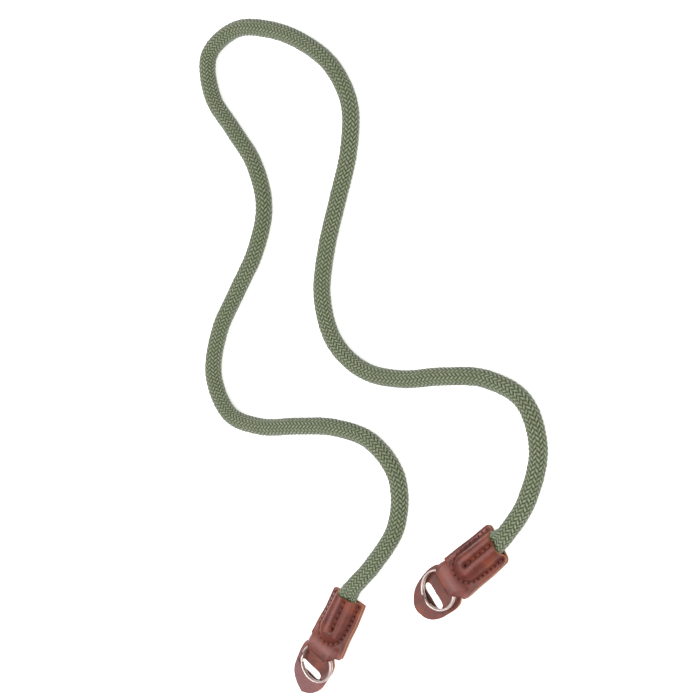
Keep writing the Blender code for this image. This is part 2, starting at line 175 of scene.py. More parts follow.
def write_mask(piece: Piece, name: str, values: Array, domain: str = "POINT") -> None:
    """Stores one number per vertex or face corner, for a material to read.

    Args:
        piece: The piece that gets the numbers.
        name: The attribute's name.
        values: The numbers, in the mesh's order.
        domain: POINT for vertices or CORNER for face corners.
    """
    mask = piece.data.attributes.get(name) or piece.data.attributes.new(name, "FLOAT", domain)
    mask.data.foreach_set("value", values.astype(np.float32).ravel())


def copy_of(piece: Piece, place: Matrix) -> Piece:
    """A copy of a piece with its own mesh, moved by a matrix.

    Args:
        piece: The object.
        place: Where the copy goes.

    Returns:
        The copy.
    """
    twin = piece.copy()
    twin.data = piece.data.copy()
    twin.data.transform(place)
    bpy.context.scene.collection.objects.link(twin)
    return twin


def join(pieces: list[Piece], name: str) -> Piece:
    """Joins pieces into the first of them and names it.

    Args:
        pieces: The objects.
        name: The new name.

    Returns:
        The joined object.
    """
    start_fresh()
    for piece in pieces:
        piece.select_set(True)
    bpy.context.view_layer.objects.active = pieces[0]
    bpy.ops.object.join()
    pieces[0].name = pieces[0].data.name = name
    return pieces[0]


def shade(piece: Piece, degrees: float) -> None:
    """Shades a piece smooth up to edges of this angle."""
    select_only(piece)
    bpy.ops.object.shade_smooth_by_angle(angle=math.radians(degrees))


def blank_sheet(name: str, rows: int, columns: int) -> tuple[Piece, Array, Array]:
    """A flat grid to be shaped, with the row and the column of each of its vertices.

    Args:
        name: The new piece's name.
        rows: Faces along X.
        columns: Faces along Y.

    Returns:
        The grid, and its vertices' row and column shares from 0 to 1.
    """
    start_fresh()
    bpy.ops.mesh.primitive_grid_add(x_subdivisions=rows, y_subdivisions=columns, size=1)
    sheet = bpy.context.object
    sheet.name = name
    points = points_of(sheet)
    return sheet, points[:, 0] + 0.5, points[:, 1] + 0.5


def merge_near(piece: Piece, distance: float) -> None:
    """Merges vertices that lie closer together than this.

    Args:
        piece: The object.
        distance: The distance, in metres.
    """
    select_only(piece)
    bpy.ops.object.mode_set(mode="EDIT")
    bpy.ops.mesh.select_all(action="SELECT")
    bpy.ops.mesh.remove_doubles(threshold=distance)
    bpy.ops.object.mode_set(mode="OBJECT")


def mesh_of(curve: bpy.types.Curve) -> Piece:
    """The mesh of a curve, with its double points merged.

    Args:
        curve: The curve's data.

    Returns:
        The new object.
    """
    holder = bpy.data.objects.new(curve.name, curve)
    bpy.context.scene.collection.objects.link(holder)
    select_only(holder)
    bpy.ops.object.convert(target="MESH")
    piece = bpy.context.object
    merge_near(piece, 0.00001)
    return piece


def to_corners(piece: Piece, values: Array) -> Array:
    """One number per face as one per face corner."""
    return np.repeat(values, [face.loop_total for face in piece.data.polygons])


def delete_faces(piece: Piece, chosen: Array) -> None:
    """Deletes the faces that are marked, and the vertices that only they used.

    Args:
        piece: The piece to cut.
        chosen: One mark per face.
    """
    select_only(piece)
    bpy.ops.object.mode_set(mode="EDIT")
    bpy.ops.mesh.select_mode(type="FACE")
    bpy.ops.mesh.select_all(action="DESELECT")
    bpy.ops.object.mode_set(mode="OBJECT")
    piece.data.polygons.foreach_set("select", chosen)
    bpy.ops.object.mode_set(mode="EDIT")
    bpy.ops.mesh.delete(type="FACE")
    bpy.ops.mesh.select_mode(type="VERT")
    bpy.ops.object.mode_set(mode="OBJECT")


def linear(colour: Colour) -> tuple[float, float, float, float]:
    """An sRGB colour in steps of 255 as a shader's linear colour."""
    steps = [step / 255 for step in colour]
    return (*[s / 12.92 if s <= 0.04045 else ((s + 0.055) / 1.055) ** 2.4 for s in steps], 1.0)


class Bench:
    """Adds the nodes of one node tree and links them."""

    def __init__(self, tree: bpy.types.NodeTree) -> None:
        """Takes the tree to work on."""
        self.tree = tree

    def add(self, kind: str, **settings: object) -> bpy.types.Node:
        """A new node with some of its fields set.

        Args:
            kind: The node's type.
            settings: Values of the node's own fields.

        Returns:
            The node.
        """
        node = self.tree.nodes.new(kind)
        for name, value in settings.items():
            setattr(node, name, value)
        return node

    def feed(self, target: Socket, value: object) -> None:
        """Links a socket to a target, or sets the target to a plain value.

        Args:
            target: The input to feed.
            value: A socket or a plain value.
        """
        if isinstance(value, Socket):
            self.tree.links.new(value, target)
        else:
            target.default_value = value

    def dress(self, node: bpy.types.Node, values: dict[str, object]) -> None:
        """Feeds a node's inputs by name."""
        for name, value in values.items():
            self.feed(node.inputs[name], value)

    def math(self, operation: str, first: object, second: object) -> Socket:
        """The result of an operation on two sockets or numbers.

        Args:
            operation: The operation's name.
            first: The first socket or number.
            second: The second socket or number.

        Returns:
            The result's socket.
        """
        node = self.add("ShaderNodeMath", operation=operation)
        self.feed(node.inputs[0], first)
        self.feed(node.inputs[1], second)
        return node.outputs[0]

    def mix(self, share: object, first: object, second: object, blend: str = "MIX") -> Socket:
        """Two colours mixed by a share.

        Args:
            share: How much of the second colour shows.
            first: A colour or a socket.
            second: A colour or a socket.
            blend: The way of mixing.

        Returns:
            The mixed colour's socket.
        """
        node = self.add("ShaderNodeMix", data_type="RGBA", blend_type=blend)
        self.feed(node.inputs["Factor"], share)
        self.feed(node.inputs[6], first)
        self.feed(node.inputs[7], second)
        return node.outputs[2]

    def span(
        self, value: object, low: float, high: float, out_low: float = 0.0, out_high: float = 1.0
    ) -> Socket:
        """A value's range carried onto another range, clamped.

        Args:
            value: A socket or a plain value.
            low: Where its range starts.
            high: Where its range ends.
            out_low: Where the new range starts.
            out_high: Where the new range ends.

        Returns:
            The socket of the new value.
        """
        node = self.add("ShaderNodeMapRange")
        for socket, number in zip(node.inputs[:5], (value, low, high, out_low, out_high)):
            self.feed(socket, number)
        return node.outputs[0]

    def noise(self, vector: object, scale: object, detail: float, roughness: float = 0.5) -> Socket:
        """Cloudy noise from 0 to 1 at this scale.

        Args:
            vector: The place to read the noise at.
            scale: How fine the noise is.
            detail: How many finer layers it has.
            roughness: How strong the finer layers are.

        Returns:
            The noise's socket.
        """
        node = self.add("ShaderNodeTexNoise")
        self.dress(node, {"Vector": vector, "Scale": scale, "Detail": detail, "Roughness": roughness})
        return node.outputs["Fac"]

    def mask(self, name: str) -> Socket:
        """A number that the mesh holds under this name."""
        return self.add("ShaderNodeAttribute", attribute_name=name).outputs["Fac"]

    def place(self) -> Socket:
        """Places in the piece's own frame."""
        return self.add("ShaderNodeTexCoord").outputs["Object"]

    def bump(self, height: object, strength: float, distance: float) -> Socket:
        """A normal that height bends, by at most this distance in metres.

        Args:
            height: A height from 0 to 1.
            strength: How strongly it bends the normal.
            distance: The distance, in metres.

        Returns:
            The normal's socket.
        """
        node = self.add("ShaderNodeBump")
        self.dress(node, {"Strength": strength, "Distance": distance, "Height": height})
        return node.outputs["Normal"]


def new_group(name: str, inputs: list[str], outputs: list[str]) -> tuple[Bench, dict, dict]:
    """A shader node group whose sockets are numbers, apart from one called Vector.

    Args:
        name: The group's name.
        inputs: Its inputs' names.
        outputs: Its outputs' names.

    Returns:
        A bench for the group, its input sockets and its output sockets, by name.
    """
    tree = bpy.data.node_groups.new(name, "ShaderNodeTree")
    for way, labels in (("INPUT", inputs), ("OUTPUT", outputs)):
        for label in labels:
            kind = "NodeSocketVector" if label == "Vector" else "NodeSocketFloat"
            tree.interface.new_socket(label, in_out=way, socket_type=kind)
    bench = Bench(tree)
    entry = bench.add("NodeGroupInput")
    result = bench.add("NodeGroupOutput")
    return bench, dict(entry.outputs.items()), dict(result.inputs.items())


def grain_group() -> bpy.types.NodeTree:
    """Leather grain: a pebbled height with pores, and soft patches of tone.

    Returns:
        The group, made only once.
    """
    name = "leather_grain"
    if name in bpy.data.node_groups:
        return bpy.data.node_groups[name]
    bench, given, wanted = new_group(name, ["Vector", "Scale"], ["Height", "Patches", "Pores"])
    cells = bench.add("ShaderNodeTexVoronoi", feature="SMOOTH_F1")
    bench.dress(cells, {"Vector": given["Vector"], "Scale": given["Scale"]})
    fine = bench.noise(given["Vector"], bench.math("MULTIPLY", given["Scale"], 2.6), 3.0)
    pebbles = bench.span(cells.outputs["Distance"], 0.1, 0.7, 1.0, 0.0)
    height = bench.math("ADD", bench.math("MULTIPLY", pebbles, 0.6), bench.math("MULTIPLY", fine, 0.5))
    bench.feed(wanted["Height"], height)
    broad = bench.noise(given["Vector"], bench.math("MULTIPLY", given["Scale"], 0.09), 4.0, 0.6)
    bench.feed(wanted["Patches"], bench.span(broad, 0.3, 0.7))
    bench.feed(wanted["Pores"], bench.span(fine, 0.28, 0.42, 1.0, 0.0))
    return bench.tree


def fibre_group() -> bpy.types.NodeTree:
    """Fibres that run along the first axis of a vector, as a height and as streaks of tone.

    Returns:
        The group, made only once.
    """
    name = "fibres"
    if name in bpy.data.node_groups:
        return bpy.data.node_groups[name]
    bench, given, wanted = new_group(name, ["Vector", "Scale"], ["Height", "Streaks"])
    stretched = bench.add("ShaderNodeMapping")
    bench.dress(stretched, {"Vector": given["Vector"], "Scale": (0.16, 1.0, 1.0)})
    strands = bench.noise(stretched.outputs[0], given["Scale"], 2.0)
    bench.feed(wanted["Height"], strands)
    bench.feed(wanted["Streaks"], bench.span(strands, 0.3, 0.7))
    return bench.tree


def highlight_break_group() -> bpy.types.NodeTree:
    """Breaks the smooth mask of painted highlight up a little, as the shine of handled leather is.

    Returns:
        The group, made only once.
    """
    name = "broken_wear"
    if name in bpy.data.node_groups:
        return bpy.data.node_groups[name]
    bench, given, wanted = new_group(name, ["Vector", "Mask", "Scale"], ["Mask"])
    patches = bench.noise(given["Vector"], given["Scale"], 3.0, 0.6)
    shifted = bench.math("ADD", given["Mask"], bench.span(patches, 0.3, 0.7, -0.14, 0.14))
    bench.feed(wanted["Mask"], bench.span(shifted, 0.12, 0.95))
    return bench.tree


def new_finish(name: str) -> tuple[bpy.types.Material, Bench, bpy.types.Node]:
    """An empty material with its bench and its shader.

    Args:
        name: The new name.

    Returns:
        The material, its bench and its shader.
    """
    material = bpy.data.materials.new(name)
    material.use_nodes = True
    return material, Bench(material.node_tree), material.node_tree.nodes["Principled BSDF"]


def place_group(bench: Bench, tree: bpy.types.NodeTree, **given: object) -> bpy.types.Node:
    """A shared group in a material, with its inputs fed by name.

    Args:
        bench: The material's bench.
        tree: The group.
        given: Values or sockets for the inputs, by name.

    Returns:
        The group's node.
    """
    node = bench.add("ShaderNodeGroup", node_tree=tree)
    bench.dress(node, given)
    return node


@dataclass(frozen=True)
class LeatherFinish:
    """Brown oiled leather with a fine grain, tan cut edges, painted shade in the stitch holes and a painted
    pale highlight.
    """

    name: str
    deep: Colour = (84, 38, 31)
    body: Colour = (112, 52, 42)
    warm: Colour = (132, 64, 42)
    # Pale mauve of the painted highlight: reflected light on the ridges, the fold and the loop, not a colour of
    # the leather.
    bloom: Colour = (148, 94, 90)
    raw: Colour = (176, 120, 82)
    # Near black painted into the stitch holes and onto the flap slot's far lip, standing for the shade inside
    # them.
    hole: Colour = (22, 12, 11)
    grain_scale: float = 1500.0
    grain_depth: float = 0.00010
    roughness: float = 0.36

    def build(self) -> bpy.types.Material:
        """Builds the material.

        Returns:
            The leather, which reads the cut_edge mask, the hole mask of painted shade and the mask of painted
            highlight.
        """
        material, bench, shader = new_finish(self.name)
        where = bench.place()
        grain = place_group(bench, grain_group(), Vector=where, Scale=self.grain_scale)
        patches, pores = grain.outputs["Patches"], grain.outputs["Pores"]
        tone = bench.mix(patches, linear(self.deep), linear(self.body))
        warmth = bench.noise(where, 95.0, 3.0)
        tone = bench.mix(bench.span(warmth, 0.48, 0.66, 0.0, 0.8), tone, linear(self.warm))
        # Painted highlight: the pale mauve sheen is mixed into the colour where its mask says.
        highlight_share = place_group(bench, highlight_break_group(), Vector=where, Mask=bench.mask("rub"), Scale=700.0)
        tone = bench.mix(bench.math("MULTIPLY", highlight_share.outputs[0], 0.75), tone, linear(self.bloom))
        tone = bench.mix(bench.math("MULTIPLY", pores, 0.35), tone, linear(self.deep))
        fibres = place_group(bench, fibre_group(), Vector=where, Scale=2600.0)
        raw = bench.mix(fibres.outputs["Streaks"], linear(self.raw), linear(self.body))
        raw = bench.mix(0.45, raw, linear(self.raw))
        tone = bench.mix(bench.mask("cut_edge"), tone, raw)
        # Painted shade in the stitch holes and on the slot's far lip.
        tone = bench.mix(bench.mask("hole"), tone, linear(self.hole))
        gloss = bench.span(patches, 0.0, 1.0, self.roughness - 0.05, self.roughness + 0.08)
        dull = bench.math("MAXIMUM", bench.mask("cut_edge"), bench.mask("hole"))
        bench.dress(shader, {
            "Base Color": tone,
            "Roughness": bench.math("ADD", gloss, bench.math("MULTIPLY", dull, 0.35)),
            "Normal": bench.bump(grain.outputs["Height"], 0.5, self.grain_depth),
            "Specular IOR Level": 0.27,
        })
        return material


@dataclass(frozen=True)
class RopeFinish:
    """Matt olive green yarn, with a painted pale highlight on each strand's crown and painted dark shade in the
    gaps.
    """

    name: str = "braided olive rope"
    # Painted shade in the gaps between strands and on the core; the crown colour below is a painted highlight.
    gap: Colour = (34, 42, 22)
    body: Colour = (110, 119, 91)
    crown: Colour = (158, 167, 138)
    damp: Colour = (92, 104, 70)

    def build(self) -> bpy.types.Material:
        """Builds the material.

        Returns:
            The yarn, which reads the masks crown and tone and the strand's own map.
        """
        material, bench, shader = new_finish(self.name)
        strand = bench.add("ShaderNodeUVMap", uv_map="strand").outputs[0]
        fibres = place_group(bench, fibre_group(), Vector=strand, Scale=11.0)
        crown = bench.mask("crown")
        lift = bench.math("ADD", crown, bench.span(fibres.outputs["Streaks"], 0.0, 1.0, -0.16, 0.16))
        # Painted light: shade towards the strand edges and gaps, highlight on the crowns.
        tone = bench.mix(bench.span(lift, 0.05, 0.5), linear(self.gap), linear(self.body))
        tone = bench.mix(bench.span(lift, 0.5, 1.0), tone, linear(self.crown))
        age = bench.noise(bench.place(), 30.0, 3.0)
        shift = bench.math("ADD", bench.mask("tone"), bench.span(age, 0.3, 0.7, -0.3, 0.3))
        tone = bench.mix(bench.span(shift, 0.0, 1.0, 0.0, 0.35), tone, linear(self.damp))
        # Painted sheen: the colour turns greyer at grazing angles, as reflected light on yarn does.
        slant = bench.add("ShaderNodeLayerWeight")
        slant.inputs["Blend"].default_value = 0.5
        grazing_sheen = bench.add("ShaderNodeHueSaturation")
        saturation = bench.span(slant.outputs["Facing"], 0.35, 0.85, 1.0, 0.2)
        bench.dress(grazing_sheen, {"Color": tone, "Saturation": saturation})
        bench.dress(shader, {
            "Base Color": grazing_sheen.outputs[0],
            "Roughness": bench.span(lift, 0.0, 1.0, 0.95, 0.78),
            "Normal": bench.bump(fibres.outputs["Height"], 0.6, 0.00012),
            "Sheen Weight": 0.35,
            "Sheen Roughness": 0.5,
            "Specular IOR Level": 0.25,
        })
        return material


@dataclass(frozen=True)
class NickelFinish:
    """Bright nickel plate with fine rubbing marks, and painted shade in the groove between its two turns."""

    name: str = "nickel plate"
    plate: Colour = (218, 202, 197)
    worn: Colour = (204, 186, 181)
    groove_shade: Colour = (92, 74, 66)

    def build(self) -> bpy.types.Material:
        """Builds the material.

        Returns:
            The material.
        """
        material, bench, shader = new_finish(self.name)
        where = bench.place()
        marks = place_group(bench, fibre_group(), Vector=where, Scale=1800.0)
        haze = bench.noise(where, 260.0, 4.0)
        tone = bench.mix(bench.span(haze, 0.35, 0.65), linear(self.plate), linear(self.worn))
        # Painted shade in the groove where the two turns of wire meet.
        groove = bench.math("MULTIPLY", bench.mask("groove"), 0.85)
        bench.dress(shader, {
            "Base Color": bench.mix(groove, tone, linear(self.groove_shade)),
            "Roughness": bench.span(marks.outputs["Streaks"], 0.0, 1.0, 0.34, 0.40),
            "Normal": bench.bump(marks.outputs["Height"], 0.05, 0.00001),
            "Metallic": 1.0,
        })
        return material


@dataclass(frozen=True)
class ThreadFinish:
    """Waxed thread with the twist of its plies, pale where the mask light says so."""

    name: str = "waxed thread"
    shade: Colour = (40, 24, 21)

    def build(self) -> bpy.types.Material:
        """Builds the material.

        Returns:
            The material.
        """
        material, bench, shader = new_finish(self.name)
        where = bench.place()
        plies = bench.add("ShaderNodeTexWave", bands_direction="DIAGONAL")
        bench.dress(plies, {"Vector": where, "Scale": 900.0})
        tone = bench.mix(bench.mask("light"), linear(ThreadTone.BROWN.value), linear(ThreadTone.PALE.value))
        # Painted shade in the grooves between the plies.
        grooves = bench.span(plies.outputs["Fac"], 0.0, 0.6, 0.45, 0.0)
        bench.dress(shader, {
            "Base Color": bench.mix(grooves, tone, linear(self.shade)),
            "Roughness": bench.span(bench.noise(where, 900.0, 2.0), 0.3, 0.7, 0.5, 0.75),
            "Normal": bench.bump(plies.outputs["Fac"], 0.5, 0.00008),
        })
        return material


@dataclass(frozen=True)
class FloorFinish:
    """A plain pale sweep of paper, lit from below as a light table is."""

    name: str = "pale paper"
    colour: Colour = (250, 250, 250)
    glow: float = 0.62

    def build(self) -> bpy.types.Material:
        """Builds the material.

        Returns:
            The material.
        """
        material, bench, shader = new_finish(self.name)
        bench.dress(shader, {
            "Base Color": linear(self.colour),
            "Roughness": 0.9,
            "Specular IOR Level": 0.1,
            "Emission Color": (1, 1, 1, 1),
            "Emission Strength": self.glow,
        })
        return material


@dataclass(frozen=True)
class EndPlace:
    """Where one leather end lies and how it differs from the other, with angles in degrees."""

    side: Side
    mouth: Point
    heading: float
    skew: float
    ring_turn: float
    flap_turn: float
    flap_slide: float
    corner_round: float
    pale_stitches: float
    # How strong the painted highlight on the guard flap is outside the ring.
    flap_highlight: float
    fold_flank: float
    furrow_shift: float
    furrow_end: float
    rope_shift: float
    lip_reach: float

    def matrix(self) -> Matrix:
        """The local frame of this end."""
        return Matrix.Translation((*self.mouth, 0)) @ Matrix.Rotation(math.radians(self.heading), 4, "Z")


ENDS = [
    EndPlace(
        Side.A, mouth=(-0.0323, 0.0052), heading=-118.5, skew=5.0,
        ring_turn=297.0, flap_turn=-4.0, flap_slide=0.0, corner_round=0.0008, pale_stitches=0.022,
        flap_highlight=0.75, fold_flank=0.91, furrow_shift=0.0026, furrow_end=0.0200,
        rope_shift=0.0007, lip_reach=0.0002,
    ),
    EndPlace(
        Side.B, mouth=(0.0684, 0.0439), heading=-142.0, skew=-6.0,
        ring_turn=10.0, flap_turn=0.0, flap_slide=-0.001, corner_round=0.0030, pale_stitches=0.0085,
        flap_highlight=0.12, fold_flank=1.0, furrow_shift=0.0002, furrow_end=0.0210,
        rope_shift=0.0002, lip_reach=0.0010,
    ),
]


@dataclass(frozen=True)
class EndShape:
    """The sizes that the leather ends, the rings and the rope's pressed ends share.

    The tunnel is the leather's rise over the ring. The mouth's share and the fold's share say how
    much narrower the pocket is there.
    """

    leather: float = 0.0016
    clearance: float = 0.0003
    pressed_height: float = 0.0065
    pocket_half_width: float = 0.009
    fold_margin: float = 0.0028
    seam_margin: float = 0.0028
    seam_flare: float = 0.0017
    sleeve_length: float = 0.035
    pocket_length: float = 0.0305
    pocket_round: float = 0.009
    fold_length: float = 0.0318
    back_setback: float = 0.0005
    groove_length: float = 0.021
    groove_fade: float = 0.004
    groove_depth: float = 0.0015
    groove_width: float = 0.0011
    base_ramp: float = 0.013
    panel_end_half_width: float = 0.0107
    tongue_half_width: float = 0.0055
    tongue_tuck: float = 0.0015
    taper_start: float = 0.001
    taper_length: float = 0.0065
    notch_clearance: float = 0.0007
    ring_setback: float = 0.0001
    loop_overhang: float = 0.0041
    tunnel_ramp: float = 0.0092
    tunnel_lead: float = 0.0003
    tunnel_side: float = 0.0023
    snug_length: float = 0.014
    mouth_share: float = 0.94
    fold_share: float = 0.86
    ring_radius: float = 0.01175
    wire: float = 0.0013
    turn_gap: float = 0.0001
    guard_underlap: float = 0.0084
    guard_slide_room: float = 0.0015

    @property
    def back_bottom(self) -> float:
        """Height of the sleeve's underside over the guard flap."""
        return self.leather + self.clearance

    @property
    def half_width(self) -> float:
        """Half the sleeve's width at its mouth."""
        return self.pocket_half_width + self.fold_margin

    @property
    def fold_radius(self) -> float:
        """Outer radius of the fold."""
        return self.leather + self.clearance / 2

    @property
    def fold_line(self) -> float:
        """Where the front panel ends and the fold begins, across the end."""
        return self.fold_radius - self.half_width

    @property
    def guard_top_edge(self) -> float:
        """Where the guard flap begins under the sleeve."""
        return self.sleeve_length - self.guard_underlap

    @property
    def ring_centre(self) -> float:
        """Where the ring's centre is along the end."""
        return self.sleeve_length + self.ring_setback + self.ring_radius

    @property
    def loop_centre(self) -> float:
        """Where the tongue starts to turn round the ring."""
        return self.sleeve_length + self.ring_setback + self.loop_overhang

    @property
    def notch_place(self) -> float:
        """Where the back panel's notch begins."""
        return self.pocket_length - self.tongue_tuck - 2 * self.notch_clearance

    @property
    def stack_half(self) -> float:
        """Half the height of the ring's two turns."""
        return self.wire + self.turn_gap / 2

    def ring_levels(self) -> tuple[float, float]:
        """Heights of the ring's wire centre at its near side and at its far side.

        Returns:
            Both heights, the near one first.
        """
        centre_radius = self.ring_radius - self.wire / 2
        far = self.leather + self.clearance + self.stack_half
        lowest = self.back_bottom + self.leather + self.clearance + self.stack_half
        inner_edge = math.sqrt((self.ring_radius - self.wire) ** 2 - self.tongue_half_width**2)
        share = (centre_radius - inner_edge) / (2 * centre_radius)
        return (lowest - share * far) / (1 - share), far

    def loop_top(self) -> float:
        """Height of the tongue's outer face over the ring."""
        return self.ring_levels()[0] + self.stack_half + self.clearance + self.leather

    def base_level(self, along: Array) -> Array:
        """Height of the sleeve's underside, which rises onto the guard flap."""
        ramp_end = self.guard_top_edge - self.guard_slide_room
        return self.back_bottom * rise(along, ramp_end - self.base_ramp, ramp_end)

    def pocket_share(self, along: Array, across: Array) -> Array:
        """0 on the pocket's middle line and 1 on the stitches round it."""
        end = np.maximum(0.0, along - (self.pocket_length - self.pocket_round)) / self.pocket_round
        return np.hypot(across / self.pocket_half_width, end)

    def groove(self, along: Array, away: Array, depth: float, width: float) -> Array:
        """Depth of the furrow that the middle line of stitches pulls in, this far away from it.

        Args:
            along: Places along the end.
            away: How far each place is from the line.
            depth: The furrow's depth.
            width: The furrow's width.

        Returns:
            The furrow's depth at each place.
        """
        half = self.groove_fade / 2
        fade = 1 - rise(along, self.groove_length - half, self.groove_length + half)
        return depth * fade * hump(away, width)

    def front_level(self, along: Array, across: Array, furrow_shift: float) -> Array:
        """Height of the sleeve's upper face, over the rope's pocket and over the ring.

        Args:
            along: Places along the end.
            across: Places across the end.
            furrow_shift: How far the furrow lies off the middle.

        Returns:
            The face's height at each place.
        """
        base = self.base_level(along)
        snug = between(self.mouth_share, 1.0, rise(along, 0.0, self.snug_length))
        snug = snug * np.where(across < 0, self.fold_share, 1.0)
        share = np.minimum(self.pocket_share(along, across / snug), 1.0)
        crown = (1 - share**3) ** 0.6
        pocket = (self.pressed_height + self.clearance - base) * crown
        top = self.ring_centre - self.ring_radius + self.tunnel_lead
        climb = np.clip((along - top) / self.tunnel_ramp + 1, 0.0, 1.0)
        climb = 0.45 * climb + 0.55 * climb**2 * (3 - 2 * climb)
        side = self.tongue_half_width + self.tunnel_side
        over_ring = climb * (1 - rise(np.abs(across), side, self.ring_radius))
        flat = base + 2 * self.leather + self.clearance
        seam_top = self.back_bottom + 2 * self.leather + self.clearance
        tunnel = (self.loop_top() - seam_top) * over_ring
        furrow = self.groove(along, across - furrow_shift, self.groove_depth, self.groove_width)
        return flat + (pocket**4 + tunnel**4) ** 0.25 - furrow * crown

    def panel_edges(self, along: Array) -> tuple[Array, Array]:
        """The front panel's edge on the fold's side and on the sewn side.

        Args:
            along: Places along the end.

        Returns:
            Both edges, as places across the end.
        """
        fold_line = self.fold_line
        flare = self.seam_flare * np.minimum(along / self.fold_length, 1.0)
        seam_line = self.pocket_half_width + self.seam_margin + flare
        start = self.sleeve_length + self.taper_start
        taper = rise(along, start, start + self.taper_length)
        half = between(self.panel_end_half_width, self.tongue_half_width, taper)
        turn = np.clip((along - self.fold_length) / (self.sleeve_length - self.fold_length), 0.0, 1.0)
        fold_edge = between(fold_line, -self.panel_end_half_width, turn)
        fold_edge = np.where(along > self.sleeve_length, -half, fold_edge)
        shoulder = rise(along, self.sleeve_length, start)
        return fold_edge, between(seam_line, half, shoulder)


SHAPE = EndShape()


def along_line(points: list[Point], spacing: float, start: float = 0.0) -> list[Point]:
    """Places at an even spacing along a line of points.

    Args:
        points: The line's corners.
        spacing: Distance from one place to the next.
        start: Distance of the first place from the line's start.

    Returns:
        The places.
    """
    line = np.array(points)
    travelled = np.concatenate([[0.0], np.cumsum(np.hypot(*np.diff(line, axis=0).T))])
    stops = np.arange(start, travelled[-1], spacing)
    return list(zip(np.interp(stops, travelled, line[:, 0]), np.interp(stops, travelled, line[:, 1])))


@dataclass
class StitchPlan:
    """Where the thread goes through the sleeve, in the end's local frame."""

    place: EndPlace
    spacing: float = 0.0031
    furrow_spacing: float = 0.0037
    first: float = 0.0020
    seat: float = 1.04
    seam_hole: float = 0.00052
    fold_hole: float = 0.00036
    pull: float = 0.00045
    furrow_hole: float = 0.00055
    furrow_pull: float = 0.00055
    end_hole: float = 0.00085
    end_pull: float = 0.0011

    def pocket_line(self) -> list[Point]:
        """Stitch holes round the pocket, from the sewn side's mouth to the fold side's.

        Returns:
            The holes' places, in order.
        """
        half = SHAPE.pocket_half_width * self.seat
        round_start = SHAPE.pocket_length - SHAPE.pocket_round
        reach = SHAPE.pocket_round * self.seat
        arc = [
            (round_start + reach * math.sin(angle), half * math.cos(angle))
            for angle in np.linspace(0, math.pi, 60)
        ]
        return along_line([(self.first, half)] + arc + [(self.first, -half)], self.spacing)

    def furrow_line(self) -> list[Point]:
        """Stitch holes along the furrow between the two ridges."""
        middle = self.place.furrow_shift
        return along_line([(self.first, middle), (self.place.furrow_end - 0.002, middle)], self.furrow_spacing)

    def holes(self) -> list[tuple[float, float, float, float]]:
        """Each hole's place, its radius and how deep its stitch pulls the leather.

        Returns:
            Rows of the place along, the place across, the radius and the pull.
        """
        round_pocket = [
            (*hole, self.seam_hole if hole[1] > 0 else self.fold_hole, self.pull) for hole in self.pocket_line()
        ]
        middle = [(*hole, self.furrow_hole, self.furrow_pull) for hole in self.furrow_line()]
        last = (self.place.furrow_end, self.place.furrow_shift, self.end_hole, self.end_pull)
        return round_pocket + middle + [last]


